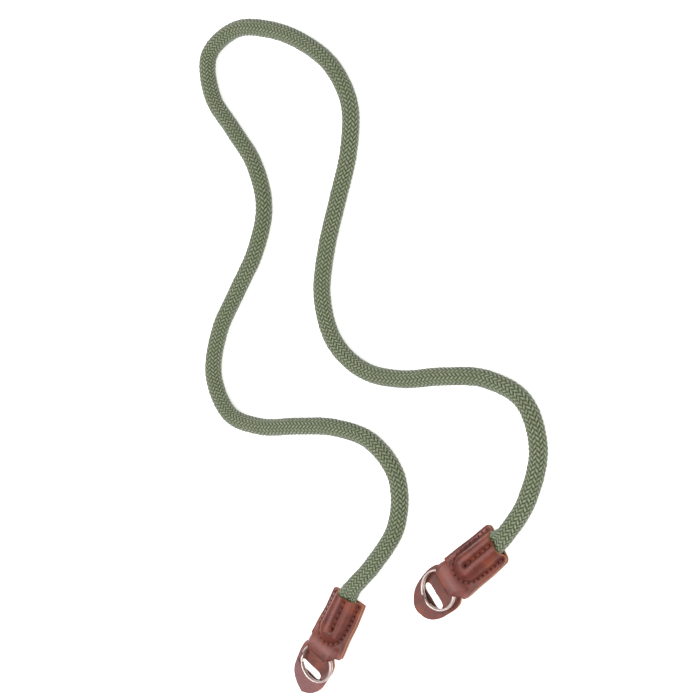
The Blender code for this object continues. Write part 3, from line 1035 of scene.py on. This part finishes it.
@dataclass
class LeatherSleeve:
    """A leather panel folded round the rope, whose tongue loops through the ring."""

    place: EndPlace
    stitches: StitchPlan
    finish: LeatherFinish
    fold_rows: int = 96
    tongue_rows: int = 84
    columns: int = 72
    arc_columns: int = 14
    back_columns: tuple[int, int, int] = (14, 26, 22)
    tail_rows: int = 8
    edge_round: float = 0.00022
    crease_depth: float = 0.00025
    crease_width: float = 0.0008
    ridge_away: float = 0.0034
    easing: int = 4

    def to_mouth(self, along: Array, across: Array) -> Array:
        """Places along the sleeve, moved by its mouth's skew, lip and rounded corners.

        Args:
            along: Places along the end.
            across: Places across the end.

        Returns:
            The moved places.
        """
        share = np.maximum(0.0, 1 - along / SHAPE.pocket_length)
        corner = self.place.corner_round
        near = np.clip((np.abs(across) - SHAPE.half_width + corner) / corner, 0.0, 1.0)
        rounded = corner * (1 - np.sqrt(1 - near**2)) * np.maximum(0.0, 1 - along / (3 * corner))
        rounded = rounded - self.place.lip_reach * share
        return along - math.tan(math.radians(self.place.skew)) * across * share + rounded

    def dimples(self, along: Array, across: Array) -> tuple[Array, Array]:
        """How deep the stitches pull the leather in, and how much painted shade darkens their holes.

        Args:
            along: Places along the sleeve.
            across: Places across it.

        Returns:
            Depths in metres and painted shade from 0 to 1.
        """
        depth = np.zeros_like(along)
        dark = np.zeros_like(along)
        for hole_along, hole_across, radius, pull in self.stitches.holes():
            away = np.hypot(along - hole_along, across - hole_across)
            near = hump(away, radius * 1.5)
            depth += pull * near
            dark = np.maximum(dark, 1 - rise(away, radius * 0.55, radius * 1.3))
        line = np.abs(SHAPE.pocket_share(along, across) - self.stitches.seat) * SHAPE.pocket_half_width
        depth += self.crease_depth * hump(line, self.crease_width) * (along < SHAPE.sleeve_length)
        return depth, dark

    def front(self) -> Piece:
        """The front panel with its tongue, from the mouth to the tucked end.

        Returns:
            The sheet, still without its wall.
        """
        rows = self.fold_rows + self.tongue_rows
        sheet, row, column = blank_sheet("front", rows, self.columns)
        radius = (SHAPE.loop_top() - SHAPE.back_bottom) / 2
        turn = math.pi * radius
        tucked = SHAPE.pocket_length - SHAPE.tongue_tuck
        total = 2 * SHAPE.loop_centre + turn - tucked
        stops = [0.0, self.fold_rows / rows, 1.0]
        travel = np.interp(row, stops, [0.0, SHAPE.fold_length, total])
        low, high = SHAPE.panel_edges(travel)
        across = between(low, high, column)
        depth, dark = self.dimples(travel, across)
        level = self.softened(SHAPE.front_level(travel, across, self.place.furrow_shift), row, column) - depth
        angle = np.clip((travel - SHAPE.loop_centre) / radius, 0.0, math.pi)
        under = np.maximum(travel - SHAPE.loop_centre - turn, 0.0)
        flat = travel <= SHAPE.loop_centre
        turned = SHAPE.loop_centre + radius * np.sin(angle) - under
        along = np.where(flat, self.to_mouth(travel, across), turned)
        height = np.where(flat, level, SHAPE.back_bottom + radius * (1 + np.cos(angle)))
        move_points(sheet, np.column_stack([along, across, height]))
        # Painted shade in the stitch holes, on the flat part only.
        write_mask(sheet, "hole", dark * flat)
        # Painted highlight: the pale reflected sheen on the ridges, the fold and the loop.
        write_mask(sheet, "rub", self.highlight_share(travel, across, low))
        return sheet

    def highlight_share(self, travel: Array, across: Array, fold_edge: Array) -> Array:
        """How strongly a pale highlight is painted on the front panel, from 0 to 1.

        Args:
            travel: Places along the leather.
            across: Places across it.
            fold_edge: The panel's edge on the fold's side.

        Returns:
            The painted highlight, on the ridges, the fold, the loop and inside the fold side's stitches.
        """
        share = SHAPE.pocket_share(travel, across)
        in_pocket = travel < SHAPE.pocket_length
        ridge = hump(np.abs(across - self.place.furrow_shift) - self.ridge_away, 0.0012) * (travel < 0.024)
        fold = (1 - rise(across, fold_edge + 0.0010, fold_edge + 0.0026)) * in_pocket
        loop = hump(travel - SHAPE.sleeve_length + 0.0012, 0.0036)
        line = hump(share - 1.11, 0.035) * in_pocket * (across < 0)
        seam = hump(share - 0.98, 0.05) * in_pocket
        return np.clip(0.62 * ridge + 0.55 * fold + 0.72 * loop + 0.5 * line - 0.4 * seam, 0.0, 1.0)

    def softened(self, level: Array, row: Array, column: Array) -> Array:
        """Heights with the pocket's hard foot eased, as leather bends.

        Args:
            level: The vertices' heights.
            row: Each vertex's row.
            column: Each vertex's column.

        Returns:
            The eased heights.
        """
        order = np.lexsort((np.round(column, 5), np.round(row, 5)))
        table = level[order].reshape(self.fold_rows + self.tongue_rows + 1, -1)
        for _ in range(self.easing):
            wide = np.pad(table, 1, mode="edge")
            beside = wide[:-2, 1:-1] + wide[2:, 1:-1] + wide[1:-1, :-2] + wide[1:-1, 2:]
            table = (wide[1:-1, 1:-1] * 2 + beside) / 6
        eased = np.empty_like(level)
        eased[order] = table.ravel()
        return eased

    def back(self) -> Piece:
        """The fold and the back panel, with the notch for the tongue's tucked end.

        Returns:
            The sheet, still without its wall.
        """
        left, middle, right = self.back_columns
        columns = self.arc_columns + left + middle + right
        rows = self.fold_rows + self.tail_rows
        sheet, row, column = blank_sheet("back", rows, columns)
        end = SHAPE.sleeve_length - SHAPE.back_setback
        along = np.interp(row, [0.0, self.fold_rows / rows, 1.0], [0.0, SHAPE.fold_length, end])
        fold_line = SHAPE.fold_line
        seam = SHAPE.panel_edges(along)[1]
        notch = SHAPE.tongue_half_width + SHAPE.notch_clearance
        index = column * columns
        stops = [right, right + middle, right + middle + left]
        inner = np.interp(index, stops, [notch, -notch, fold_line])
        across = np.where(index <= right, between(seam, notch, index / right), inner)
        angle = np.pi * np.clip((columns - index) / self.arc_columns, 0.0, 1.0)
        across = np.where(angle < np.pi, fold_line - SHAPE.fold_radius * np.sin(angle), across)
        height = SHAPE.base_level(along)
        height = height + np.where(angle < np.pi, SHAPE.fold_radius * (1 + np.cos(angle)), 0.0)
        move_points(sheet, np.column_stack([self.to_mouth(along, across), across, height]))
        write_mask(sheet, "hole", np.zeros(len(along)))
        # Painted highlight along the fold's curve, strongest at its outer edge.
        write_mask(sheet, "rub", 0.55 * np.sin(angle) * (angle < np.pi))
        table = np.column_stack([across, along, index])
        faces = np.array([np.mean(table[list(face.vertices)], axis=0) for face in sheet.data.polygons])
        arcs = faces[:, 2] > columns - self.arc_columns
        in_notch = (np.abs(faces[:, 0]) < notch) & (faces[:, 1] > SHAPE.notch_place) & ~arcs
        delete_faces(sheet, in_notch | (arcs & (faces[:, 1] > SHAPE.fold_length)))
        return sheet

    def match_fold(self, front: Piece, back: Piece) -> None:
        """Gives the fold's top edge the heights of the front panel's edge.

        Args:
            front: The front panel.
            back: The fold with the back panel.
        """
        fold_line = SHAPE.fold_line
        top = points_of(front)
        rim = top[(np.abs(top[:, 1] - fold_line) < 1e-6) & (top[:, 0] < SHAPE.fold_length + 1e-4)]
        rim = rim[np.argsort(rim[:, 0])]
        points = points_of(back)
        turned = points[:, 1] <= fold_line + 1e-6
        base = SHAPE.base_level(points[:, 0])
        share = np.clip((points[:, 2] - base) / (2 * SHAPE.fold_radius), 0.0, 1.0) * turned
        wanted = np.interp(points[:, 0], rim[:, 0], rim[:, 2])
        points[:, 2] += (wanted - base - 2 * SHAPE.fold_radius) * share
        move_points(back, points)

    def build(self) -> Piece:
        """Builds the sleeve.

        Returns:
            The finished leather, which stands for the part's sleeve.
        """
        side = self.place.side.value
        front, back = self.front(), self.back()
        self.match_fold(front, back)
        sleeve = join([front, back], f"leather_sleeve_{side}")
        merge_near(sleeve, 0.00006)
        leather = self.finish.build()
        for _ in range(2):
            sleeve.data.materials.append(leather)
        finish_with(sleeve, "SOLIDIFY", thickness=SHAPE.leather, offset=-1.0, material_offset_rim=1)
        sharp = math.radians(62)
        finish_with(sleeve, "BEVEL", width=self.edge_round, segments=2, limit_method="ANGLE", angle_limit=sharp)
        rim = np.zeros(len(sleeve.data.polygons), dtype=np.int32)
        sleeve.data.polygons.foreach_get("material_index", rim)
        corners = to_corners(sleeve, rim)
        used = np.empty(len(corners), dtype=np.int32)
        sleeve.data.loops.foreach_get("vertex_index", used)
        points = points_of(sleeve)
        lower = points[:, 2] < SHAPE.base_level(points[:, 0]) + SHAPE.leather + SHAPE.clearance / 2
        write_mask(sleeve, "cut_edge", corners * np.where(lower, 0.5, 0.85)[used], "CORNER")
        sleeve.data.polygons.foreach_set("material_index", np.zeros(len(rim), dtype=np.int32))
        sleeve.data.materials.pop(index=1)
        sleeve.data.transform(self.place.matrix())
        shade(sleeve, 50)
        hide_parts(f"sleeve_{side}")
        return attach(sleeve, "strap")


@dataclass
class Stitching:
    """The thread that shows on one sleeve."""

    place: EndPlace
    sleeve: LeatherSleeve
    radius: float = 0.0003
    length_share: float = 0.74
    sunk: float = 0.00025

    def master(self) -> Piece:
        """One stitch, a rounded bar of unit length along X.

        Returns:
            The bar.
        """
        start_fresh()
        bpy.ops.mesh.primitive_uv_sphere_add(segments=8, ring_count=8, radius=0.5)
        bar = bpy.context.object
        points = points_of(bar)[:, [2, 1, 0]]
        points[:, 2] *= -1
        points[:, 0] = np.sign(points[:, 0]) * (2 * np.abs(points[:, 0])) ** 0.6 / 2
        move_points(bar, points)
        return bar

    def seat(self, hole: Point) -> Vector:
        """Where the thread lies over a hole, in the end's local frame.

        Args:
            hole: The hole's places along and across the end.

        Returns:
            The thread's place.
        """
        along, across = np.array([hole[0]]), np.array([hole[1]])
        level = SHAPE.front_level(along, across, self.place.furrow_shift)[0] - self.sunk
        return Vector((float(self.sleeve.to_mouth(along, across)[0]), hole[1], float(level)))

    def one(self, master: Piece, start: Point, end: Point) -> Piece:
        """A stitch laid from one hole towards the next.

        Args:
            master: The stitch to copy.
            start: Its first hole.
            end: Its second hole.

        Returns:
            The copy, in the end's local frame.
        """
        first, second = self.seat(start), self.seat(end)
        way = second - first
        turn = way.to_track_quat("X", "Z").to_matrix().to_4x4()
        sizes = Matrix.Diagonal((way.length * self.length_share, 2 * self.radius, 2 * self.radius, 1))
        return copy_of(master, Matrix.Translation((first + second) / 2) @ turn @ sizes)

    def build(self) -> Piece:
        """Builds the stitches of one sleeve.

        Returns:
            The thread, which rides with the strap.
        """
        side = self.place.side.value
        master = self.master()
        plan = self.sleeve.stitches
        lines = [plan.pocket_line(), plan.furrow_line()]
        bars = [self.one(master, start, end) for line in lines for start, end in zip(line, line[1:])]
        bpy.data.objects.remove(master)
        thread = join(bars, f"stitching_{side}")
        points = points_of(thread)
        pale = rise(-points[:, 1], 0.004, 0.005) * (points[:, 0] < self.place.pale_stitches)
        write_mask(thread, "light", pale)
        thread.data.materials.append(ThreadFinish().build())
        thread.data.transform(self.place.matrix())
        shade(thread, 60)
        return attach(thread, "strap")


@dataclass
class GuardFlap:
    """A flat leather flap under the ring, with a slot whose far lip has a painted shadow, and with a painted
    highlight outside the ring.
    """

    place: EndPlace
    finish: LeatherFinish
    half_width: float = 0.013
    neck_half_width: float = 0.0098
    shoulder_start: float = 0.0030
    shoulder_length: float = 0.0045
    past_ring: float = 0.0107
    tip_length: float = 0.0153
    top_round: float = 0.003
    slot_length: float = 0.017
    slot_width: float = 0.0047
    slot_past_ring: float = -0.0006
    grain_cell: float = 0.00026
    curl: float = 0.0005
    # Darkness of the painted shadow on the slot's far lip.
    lip: float = 0.7
    # Share of painted highlight along the flap's cut rim.
    rim_highlight: float = 0.2

    @property
    def tip(self) -> float:
        """Where the flap ends along the end."""
        return SHAPE.ring_centre + SHAPE.ring_radius + self.past_ring

    @property
    def slot_far(self) -> float:
        """Where the slot ends along the end."""
        return SHAPE.ring_centre + SHAPE.ring_radius - SHAPE.wire + self.slot_past_ring

    def outline(self) -> list[Knot]:
        """Points of the outline, from the fold's side round to the sewn side.

        Returns:
            The points, each with a mark for a sharp corner.
        """
        top = SHAPE.guard_top_edge
        neck = SHAPE.sleeve_length + self.shoulder_start
        shoulder = neck + self.shoulder_length
        tip = self.tip
        tip_start = tip - self.tip_length
        flank = [
            (top, self.neck_half_width - self.top_round, True),
            (top + self.top_round, self.neck_half_width, False),
            (neck, self.neck_half_width, False),
            ((neck + shoulder) / 2, (self.half_width + self.neck_half_width) / 2, False),
            (shoulder, self.half_width, False),
            (tip_start, self.half_width, False),
        ]
        down = [(along, -across * self.place.fold_flank, corner) for along, across, corner in flank]
        tips = [
            (between(tip_start, tip, along), self.half_width * across, (along, across) == SHARP_TIP)
            for along, across in FLAP_TIPS[self.place.side]
        ]
        return down + tips + flank[::-1]

    def slot(self) -> list[Knot]:
        """Points of the slot's lens.

        Returns:
            The points, none of them sharp.
        """
        far = self.slot_far
        centre = far - self.slot_width / 2
        half = self.slot_length / 2
        lens = [(centre, -half), (far, 0.0), (centre, half), (far - self.slot_width, 0.0)]
        return [(x, y, False) for x, y in lens]

    def cut_out(self) -> Piece:
        """The flap as it is cut from the hide, with its slot.

        Returns:
            The flap's flat mesh.
        """
        curve = bpy.data.curves.new("flap", "CURVE")
        curve.dimensions = "2D"
        curve.fill_mode = "BOTH"
        curve.extrude = SHAPE.leather / 2
        for points, resolution in ((self.outline(), 14), (self.slot(), 18)):
            spline = curve.splines.new("BEZIER")
            spline.resolution_u = resolution
            spline.use_cyclic_u = True
            spline.bezier_points.add(len(points) - 1)
            for knot, (x, y, corner) in zip(spline.bezier_points, points):
                knot.co = (x, y, 0)
                knot.handle_left_type = knot.handle_right_type = "VECTOR" if corner else "AUTO"
        return mesh_of(curve)

    def build(self) -> Piece:
        """Builds the flap.

        Returns:
            The finished leather, which stands for the part's guard flap.
        """
        side = self.place.side.value
        flap = self.cut_out()
        finish_with(flap, "REMESH", mode="VOXEL", voxel_size=self.grain_cell)
        finish_with(flap, "SMOOTH", factor=0.5, iterations=4)
        flap.name = flap.data.name = f"leather_flap_{side}"
        points = points_of(flap)
        edge = np.abs(points[:, 2]) < SHAPE.leather / 2 * 0.82
        far = rise(points[:, 0], SHAPE.ring_centre + 0.006, self.tip)
        points[:, 2] += SHAPE.leather / 2 + self.curl * far * (0.4 + (points[:, 1] / self.half_width) ** 2)
        normals = np.empty(len(flap.data.polygons) * 3)
        flap.data.polygons.foreach_get("normal", normals)
        steep = 1 - rise(np.abs(normals.reshape(-1, 3)[:, 2]), 0.35, 0.8)
        move_points(flap, points)
        write_mask(flap, "cut_edge", to_corners(flap, steep), "CORNER")
        slot_middle = self.slot_far - self.slot_width / 2
        reach = np.abs(points[:, 0] - slot_middle) / (self.slot_width / 2)
        reach += (points[:, 1] / (self.slot_length / 2)) ** 2
        far_side = points[:, 0] > slot_middle
        # Painted shadow on the slot's far lip.
        write_mask(flap, "hole", self.lip * (1 - rise(reach, 1.5, 2.2)) * far_side)
        away = np.hypot(points[:, 0] - SHAPE.ring_centre, points[:, 1])
        # Painted highlight: a pale mauve sheen outside the ring and along the rim; inside the ring the flap
        # keeps its own red-brown.
        bloom = self.place.flap_highlight * rise(away, SHAPE.ring_radius - 0.002, SHAPE.ring_radius)
        write_mask(flap, "rub", np.clip(bloom + self.rim_highlight * edge, 0.0, 1.0))
        flap.data.materials.clear()
        flap.data.materials.append(self.finish.build())
        slide = Matrix.Translation((self.place.flap_slide, 0, 0))
        turn = Matrix.Rotation(math.radians(self.place.flap_turn), 4, "Z")
        flap.data.transform(self.place.matrix() @ turn @ slide)
        shade(flap, 60)
        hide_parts(f"guard_flap_{side}")
        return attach(flap, "strap")


@dataclass
class SplitRing:
    """Two turns of nickel-plated wire, one on the other, with a step where they change."""

    place: EndPlace
    finish: NickelFinish
    jog: float = 26.0
    end_gap: float = 4.0
    wire_share: float = 0.95
    points_per_turn: int = 110

    def way(self) -> list[Vector]:
        """The wire's centre line about the ring's centre.

        Returns:
            The line's points, in order.
        """
        radius = SHAPE.ring_radius - SHAPE.wire / 2
        rise_half = SHAPE.stack_half - SHAPE.wire / 2
        start = math.radians(self.end_gap)
        jog = math.radians(self.jog)
        angles = np.linspace(start, 4 * math.pi - jog - start, 2 * self.points_per_turn)
        heights = between(-rise_half, rise_half, rise(angles, 2 * math.pi - jog, 2 * math.pi))
        return [Vector((radius * math.cos(a), radius * math.sin(a), h)) for a, h in zip(angles, heights)]

    def build(self) -> Piece:
        """Builds the ring.

        Returns:
            The finished wire, which stands for the part's ring and turns with it.
        """
        side = self.place.side.value
        curve = bpy.data.curves.new("wire", "CURVE")
        curve.dimensions = "3D"
        curve.twist_mode = "Z_UP"
        curve.bevel_depth = SHAPE.wire / 2 * self.wire_share
        curve.bevel_resolution = 4
        curve.use_fill_caps = True
        spline = curve.splines.new("POLY")
        points = self.way()
        spline.points.add(len(points) - 1)
        for knot, point in zip(spline.points, points):
            knot.co = (*point, 1)
        ring = mesh_of(curve)
        ring.data.materials.clear()
        ring.data.materials.append(self.finish.build())
        level = np.abs(points_of(ring)[:, 2])
        # Mask of painted shade: 1 next to the gap between the two turns.
        write_mask(ring, "groove", 1 - rise(level, 0.0001, 0.0005))
        near, far = SHAPE.ring_levels()
        lean = math.asin((near - far) / (2 * (SHAPE.ring_radius - SHAPE.wire / 2)))
        ring.data.transform(
            self.place.matrix()
            @ Matrix.Translation((SHAPE.ring_centre, 0, (near + far) / 2))
            @ Matrix.Rotation(lean, 4, "Y")
            @ Matrix.Rotation(math.radians(self.place.ring_turn), 4, "Z")
        )
        ring.name = ring.data.name = f"ring_wire_{side}"
        shade(ring, 40)
        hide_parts(f"split_ring_{side}")
        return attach(ring, f"ring_{side}")


@dataclass
class RopeWay:
    """The rope's centre line and its section all along it.

    Its free length is drawn fuller than the nominal size, because a braid's crowns are rounded.
    """

    diameter: float = 0.010
    free_share: float = 1.055
    pressed_width: float = 0.0134
    press_length: float = 0.010
    end_margin: float = 0.0045
    tip_length: float = 0.006
    tip_width_share: float = 0.80
    tip_height_share: float = 0.62
    groove_depth: float = 0.0017
    groove_width: float = 0.0024
    steps: int = 24

    def __post_init__(self) -> None:
        """Lays the line out once."""
        flat = self.smooth(self.held_points())
        self.travelled = np.concatenate([[0.0], np.cumsum(np.hypot(*np.diff(flat, axis=0).T))])
        tangent = np.gradient(flat, self.travelled, axis=0)
        tangent /= np.linalg.norm(tangent, axis=1)[:, None]
        self.side = np.column_stack([-tangent[:, 1], tangent[:, 0]])
        self.along = self.nearness(flat)
        level, self.width, self.height = self.section(self.along)
        self.centre = np.column_stack([flat, level])

    @property
    def length(self) -> float:
        """The rope's whole length, with its two hidden ends."""
        return float(self.travelled[-1])

    def held_points(self) -> Array:
        """The points that the line goes through, from the tip in sleeve a to that in sleeve b.

        Returns:
            Rows of x and y.
        """
        inside = SHAPE.pocket_length - self.end_margin
        stops = [inside, inside * 0.5, 0]
        bound = [[(end.matrix() @ Vector((stop, end.rope_shift, 0)))[:2] for stop in stops] for end in ENDS]
        return np.array([*bound[0], *ROUTE, *bound[1][::-1]])

    def smooth(self, points: Array) -> Array:
        """A smooth curve through points, in short steps.

        Args:
            points: The points to go through.

        Returns:
            The curve's points.
        """
        held = np.vstack([2 * points[0] - points[1], points, 2 * points[-1] - points[-2]])
        way = []
        for before, start, end, after in zip(held, held[1:], held[2:], held[3:]):
            for step in range(self.steps):
                share = step / self.steps
                pull = (2 * before - 5 * start + 4 * end - after) * share**2
                twist = (3 * start - before - 3 * end + after) * share**3
                way.append(start + ((end - before) * share + pull + twist) / 2)
        return np.array([*way, points[-1]])

    def nearness(self, flat: Array) -> Array:
        """Places along the local frame of the end that holds each point, or far outside.

        Args:
            flat: The points' x and y.

        Returns:
            One place for each point.
        """
        nearest = np.full(len(flat), -2 * self.press_length)
        self.furrow = np.zeros(len(flat))
        for end, turned in zip(ENDS, (-1, 1)):
            away = flat - np.array(end.mouth)
            heading = math.radians(end.heading)
            along = away @ np.array([math.cos(heading), math.sin(heading)])
            across = away @ np.array([-math.sin(heading), math.cos(heading)])
            held = (np.abs(across) < self.pressed_width) & (along > -2 * self.press_length)
            held &= np.hypot(*away.T) < 0.05
            nearest = np.where(held, along, nearest)
            self.furrow = np.where(held, turned * end.furrow_shift, self.furrow)
        return nearest

    def section(self, along: Array) -> tuple[Array, Array, Array]:
        """Centre height, width and height of the rope, pressed flatter in a sleeve.

        Args:
            along: Places along the end.

        Returns:
            The centre heights, the widths and the heights.
        """
        pressed = rise(along, -self.press_length, 0.0)
        tip_end = SHAPE.pocket_length - self.end_margin
        tip = rise(along, tip_end - self.tip_length, tip_end)
        base = SHAPE.base_level(along)
        free = self.diameter * self.free_share
        width = between(free, self.pressed_width, pressed) * between(1, self.tip_width_share, tip)
        room = SHAPE.pressed_height - base
        height = between(free, room, pressed) * between(1, self.tip_height_share, tip)
        bottom = pressed * (SHAPE.leather + SHAPE.clearance + base)
        return bottom + height / 2, width, height

    def bend(self, straight: Array) -> Array:
        """Carries a straight rope along X onto its way.

        Args:
            straight: Points along X from 0, with Y across and Z up from the middle.

        Returns:
            The same points on the lying rope.
        """
        stop = np.clip(straight[:, 0], 0.0, self.length)

        def read(values: Array) -> Array:
            """Values of the line at each point's place along it."""
            return np.interp(stop, self.travelled, values)

        along = read(self.along)
        across = straight[:, 1]
        pressed = rise(along, -self.press_length, 0.0) * (straight[:, 2] > 0)
        wide = across * read(self.width) / self.diameter
        furrow = pressed * SHAPE.groove(along, wide - read(self.furrow), self.groove_depth, self.groove_width)
        x = read(self.centre[:, 0]) + read(self.side[:, 0]) * wide
        y = read(self.centre[:, 1]) + read(self.side[:, 1]) * wide
        z = read(self.centre[:, 2]) + straight[:, 2] * read(self.height) / self.diameter - furrow
        return np.column_stack([x, y, z])


@dataclass
class BraidedRope:
    """A tubular braid of many carriers, in which every strand passes over two and under two."""

    way: RopeWay
    finish: RopeFinish
    carriers: int = 32
    pitch: float = 0.0027
    strand_width: float = 0.00150
    strand_thickness: float = 0.00082
    wave: float = 0.00030
    reach: float = 1.5
    float_faces: tuple[int, int] = (5, 3)
    core_radius: float = 0.0043
    core_step: float = 0.004
    start: float = 0.0015
    lumps: float = 0.030
    wander: float = 0.5
    seed: int = 7

    def strand_float(self, lean: int) -> Piece:
        """The stretch of one strand that shows, bent round a straight rope along X.

        Args:
            lean: 1 where the strand turns one way round the rope, and -1 for the other.

        Returns:
            The stretch, centred at the rope's side.
        """
        piece, row, column = blank_sheet("strand", *self.float_faces)
        step = (row - 0.5) * 2 * self.reach
        across = (column - 0.5) * 2
        middle = self.way.diameter / 2 - self.strand_thickness / 2 - self.wave
        turn = 2 * math.pi / self.carriers
        slope = math.atan2(turn * middle, self.pitch / 2)
        half = self.strand_width / 2 * (1 - 0.22 * (np.abs(step) / self.reach) ** 2)
        lateral = across * half
        along = step * self.pitch / 2 - lean * lateral * math.sin(slope)
        angle = lean * step * turn + lateral * math.cos(slope) / middle
        lift = self.wave * np.cos(np.pi / 2 * step / 1.1)
        arch = self.strand_thickness * (np.sqrt(1 - (0.96 * across) ** 2) - 0.5)
        radius = middle + lift + arch
        points = np.column_stack([along, radius * np.cos(angle), radius * np.sin(angle)])
        move_points(piece, points)
        # The crown mask paints the light: pale on the strand's crown, shaded at its sides and where it dives
        # under.
        crown = np.clip(1 - 0.9 * np.abs(across) ** 2.2, 0, 1)
        write_mask(piece, "crown", crown * (0.25 + 0.75 * np.clip(lift / self.wave, 0, 1)))
        piece.data.uv_layers[0].name = "strand"
        return piece

    def unit(self) -> Piece:
        """One pitch of the whole braid: a stretch of strand in each of its columns.

        Returns:
            The stretch as one object.
        """
        columns = self.carriers // 2
        floats = []
        for lean, start, shift in ((1, 0, 0.25), (-1, 1, 0.75)):
            master = self.strand_float(lean)
            for column in range(start, columns, 2):
                turn = Matrix.Rotation(2 * math.pi * column / columns, 4, "X")
                floats.append(copy_of(master, turn @ Matrix.Translation((shift * self.pitch, 0, 0))))
            bpy.data.objects.remove(master)
        return join(floats, "braid")

    def core(self) -> Piece:
        """The inside of the braid, closed to a point at both tips, dark with painted shade.

        Returns:
            The core.
        """
        rows = round(self.way.length / self.core_step)
        core, row, column = blank_sheet("core", rows, 14)
        angle = 2 * math.pi * column
        tip = np.minimum(row, 1 - row) * rows
        radius = self.core_radius * np.clip(tip, 0.0, 1.0)
        points = np.column_stack([row * self.way.length, radius * np.cos(angle), radius * np.sin(angle)])
        move_points(core, points)
        # A crown of 0 paints the core with the gaps' shade.
        write_mask(core, "crown", np.zeros(len(points)))
        core.data.uv_layers[0].name = "strand"
        merge_near(core, 0.00002)
        return core

    def build(self) -> Piece:
        """Builds the rope.

        Returns:
            The braid, which stands for the part's rope and rides with the strap.
        """
        braid = self.unit()
        size = len(braid.data.vertices)
        count = int((self.way.length - 2 * self.start) / self.pitch)
        finish_with(
            braid, "ARRAY", count=count, use_relative_offset=False, use_constant_offset=True,
            constant_offset_displace=(self.pitch, 0, 0),
        )
        draw = np.random.default_rng(self.seed)
        per_float = size // self.carriers * 2
        tones = draw.uniform(0, 1, count * self.carriers // 2 + 1)
        tone = tones[np.arange(size * count) // per_float]
        write_mask(braid, "tone", tone)
        core = self.core()
        write_mask(core, "tone", np.full(len(core.data.vertices), 0.5))
        points = points_of(braid)
        points[:, 0] += self.start
        points[:, 1:] *= 1 + (tone - 0.5)[:, None] * self.lumps
        move_points(braid, points)
        rope = join([braid, core], "rope_braid")
        points = points_of(rope)
        drift = self.wander * (np.sin(points[:, 0] * 11.0) + 0.5 * np.sin(points[:, 0] * 27.0 + 1.0))
        across = points[:, 1] * np.cos(drift) - points[:, 2] * np.sin(drift)
        up = points[:, 1] * np.sin(drift) + points[:, 2] * np.cos(drift)
        bent = self.way.bend(np.column_stack([points[:, 0], across, up]))
        bent[:, 2] = np.maximum(bent[:, 2], 0.00002)
        move_points(rope, bent)
        rope.data.materials.append(self.finish.build())
        shade(rope, 75)
        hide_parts("rope")
        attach(rope, "strap")
        return rope


@dataclass(frozen=True)
class Lamp:
    """A soft square light, with its power in watts."""

    name: str
    place: tuple[float, float, float]
    size: float
    power: float


LAMPS = [Lamp("overhead", (-0.5, 0.1, 1.3), 1.1, 15.0), Lamp("fill", (0.9, -0.5, 0.7), 0.8, 5.0)]


@dataclass
class Studio:
    """The pale floor, the soft light and the camera of the photograph."""

    target: tuple[float, float, float] = (-0.0332, 0.1487, 0.0)
    elevation: float = 53.0
    distance: float = 0.913
    lens: float = 80.5
    floor_size: float = 6.0
    horizon: float = 0.24
    sky: float = 0.60

    def camera(self) -> Piece:
        """The camera at the photograph's angle, on the +X side.

        Returns:
            The camera.
        """
        tilt = math.radians(self.elevation)
        back = Vector((math.cos(tilt), 0, math.sin(tilt)))
        right = Vector((math.sin(tilt), 0, -math.cos(tilt)))
        turn = Matrix((right, Vector((0, 1, 0)), back)).transposed().to_4x4()
        bpy.ops.object.camera_add()
        camera = bpy.context.object
        camera.name = "photo_camera"
        camera.matrix_world = Matrix.Translation(Vector(self.target) + back * self.distance) @ turn
        camera.data.lens = self.lens
        camera.data.sensor_width = 36.0
        camera.data.clip_start = 0.01
        bpy.context.scene.camera = camera
        return camera

    def floor(self) -> Piece:
        """The floor on which the strap lies.

        Returns:
            The floor.
        """
        bpy.ops.mesh.primitive_plane_add(size=self.floor_size, location=(0, 0, 0))
        floor = bpy.context.object
        floor.name = "floor"
        floor.data.materials.append(FloorFinish().build())
        return floor

    def hang(self, lamp: Lamp) -> None:
        """Hangs a lamp that looks at the strap.

        Args:
            lamp: The lamp.
        """
        bpy.ops.object.light_add(type="AREA", location=lamp.place)
        light = bpy.context.object
        light.name = lamp.name
        light.data.size = lamp.size
        light.data.energy = lamp.power
        away = Vector(lamp.place) - Vector(self.target)
        light.rotation_euler = away.to_track_quat("Z", "Y").to_euler()

    def build(self) -> None:
        """Sets up the studio."""
        start_fresh()
        self.camera()
        self.floor()
        for lamp in LAMPS:
            self.hang(lamp)
        world = bpy.data.worlds.new("studio")
        world.use_nodes = True
        bench = Bench(world.node_tree)
        direction = bench.add("ShaderNodeSeparateXYZ")
        bench.feed(direction.inputs[0], bench.add("ShaderNodeTexCoord").outputs["Generated"])
        strength = bench.span(direction.outputs["Z"], 0.05, 0.75, self.horizon, self.sky)
        bench.dress(world.node_tree.nodes["Background"], {"Color": (1, 1, 1, 1), "Strength": strength})
        bpy.context.scene.world = world
        bpy.context.scene.view_settings.view_transform = "Standard"


def main() -> None:
    """Builds the studio and the strap, and reports each piece."""
    logging.basicConfig(level=logging.INFO, format="%(message)s")
    Studio().build()
    LOG.info("studio: camera, floor and lights")
    rope = BraidedRope(RopeWay(), RopeFinish()).build()
    LOG.info("%s: %d faces", rope.name, len(rope.data.polygons))
    flap_leather = {
        # Flap a gets a pinker painted highlight.
        Side.A: LeatherFinish("brown leather, flap a", body=(116, 58, 46), bloom=(142, 98, 100)),
        Side.B: LeatherFinish("brown leather, flap b", body=(118, 56, 46)),
    }
    for place in ENDS:
        leather = LeatherFinish(f"brown leather, sleeve {place.side.value}")
        sleeve = LeatherSleeve(place, StitchPlan(place), leather)
        pieces = [
            sleeve.build(),
            Stitching(place, sleeve).build(),
            GuardFlap(place, flap_leather[place.side]).build(),
            SplitRing(place, NickelFinish()).build(),
        ]
        for piece in pieces:
            LOG.info("%s: %d faces", piece.name, len(piece.data.polygons))


if __name__ == "__main__":
    main()
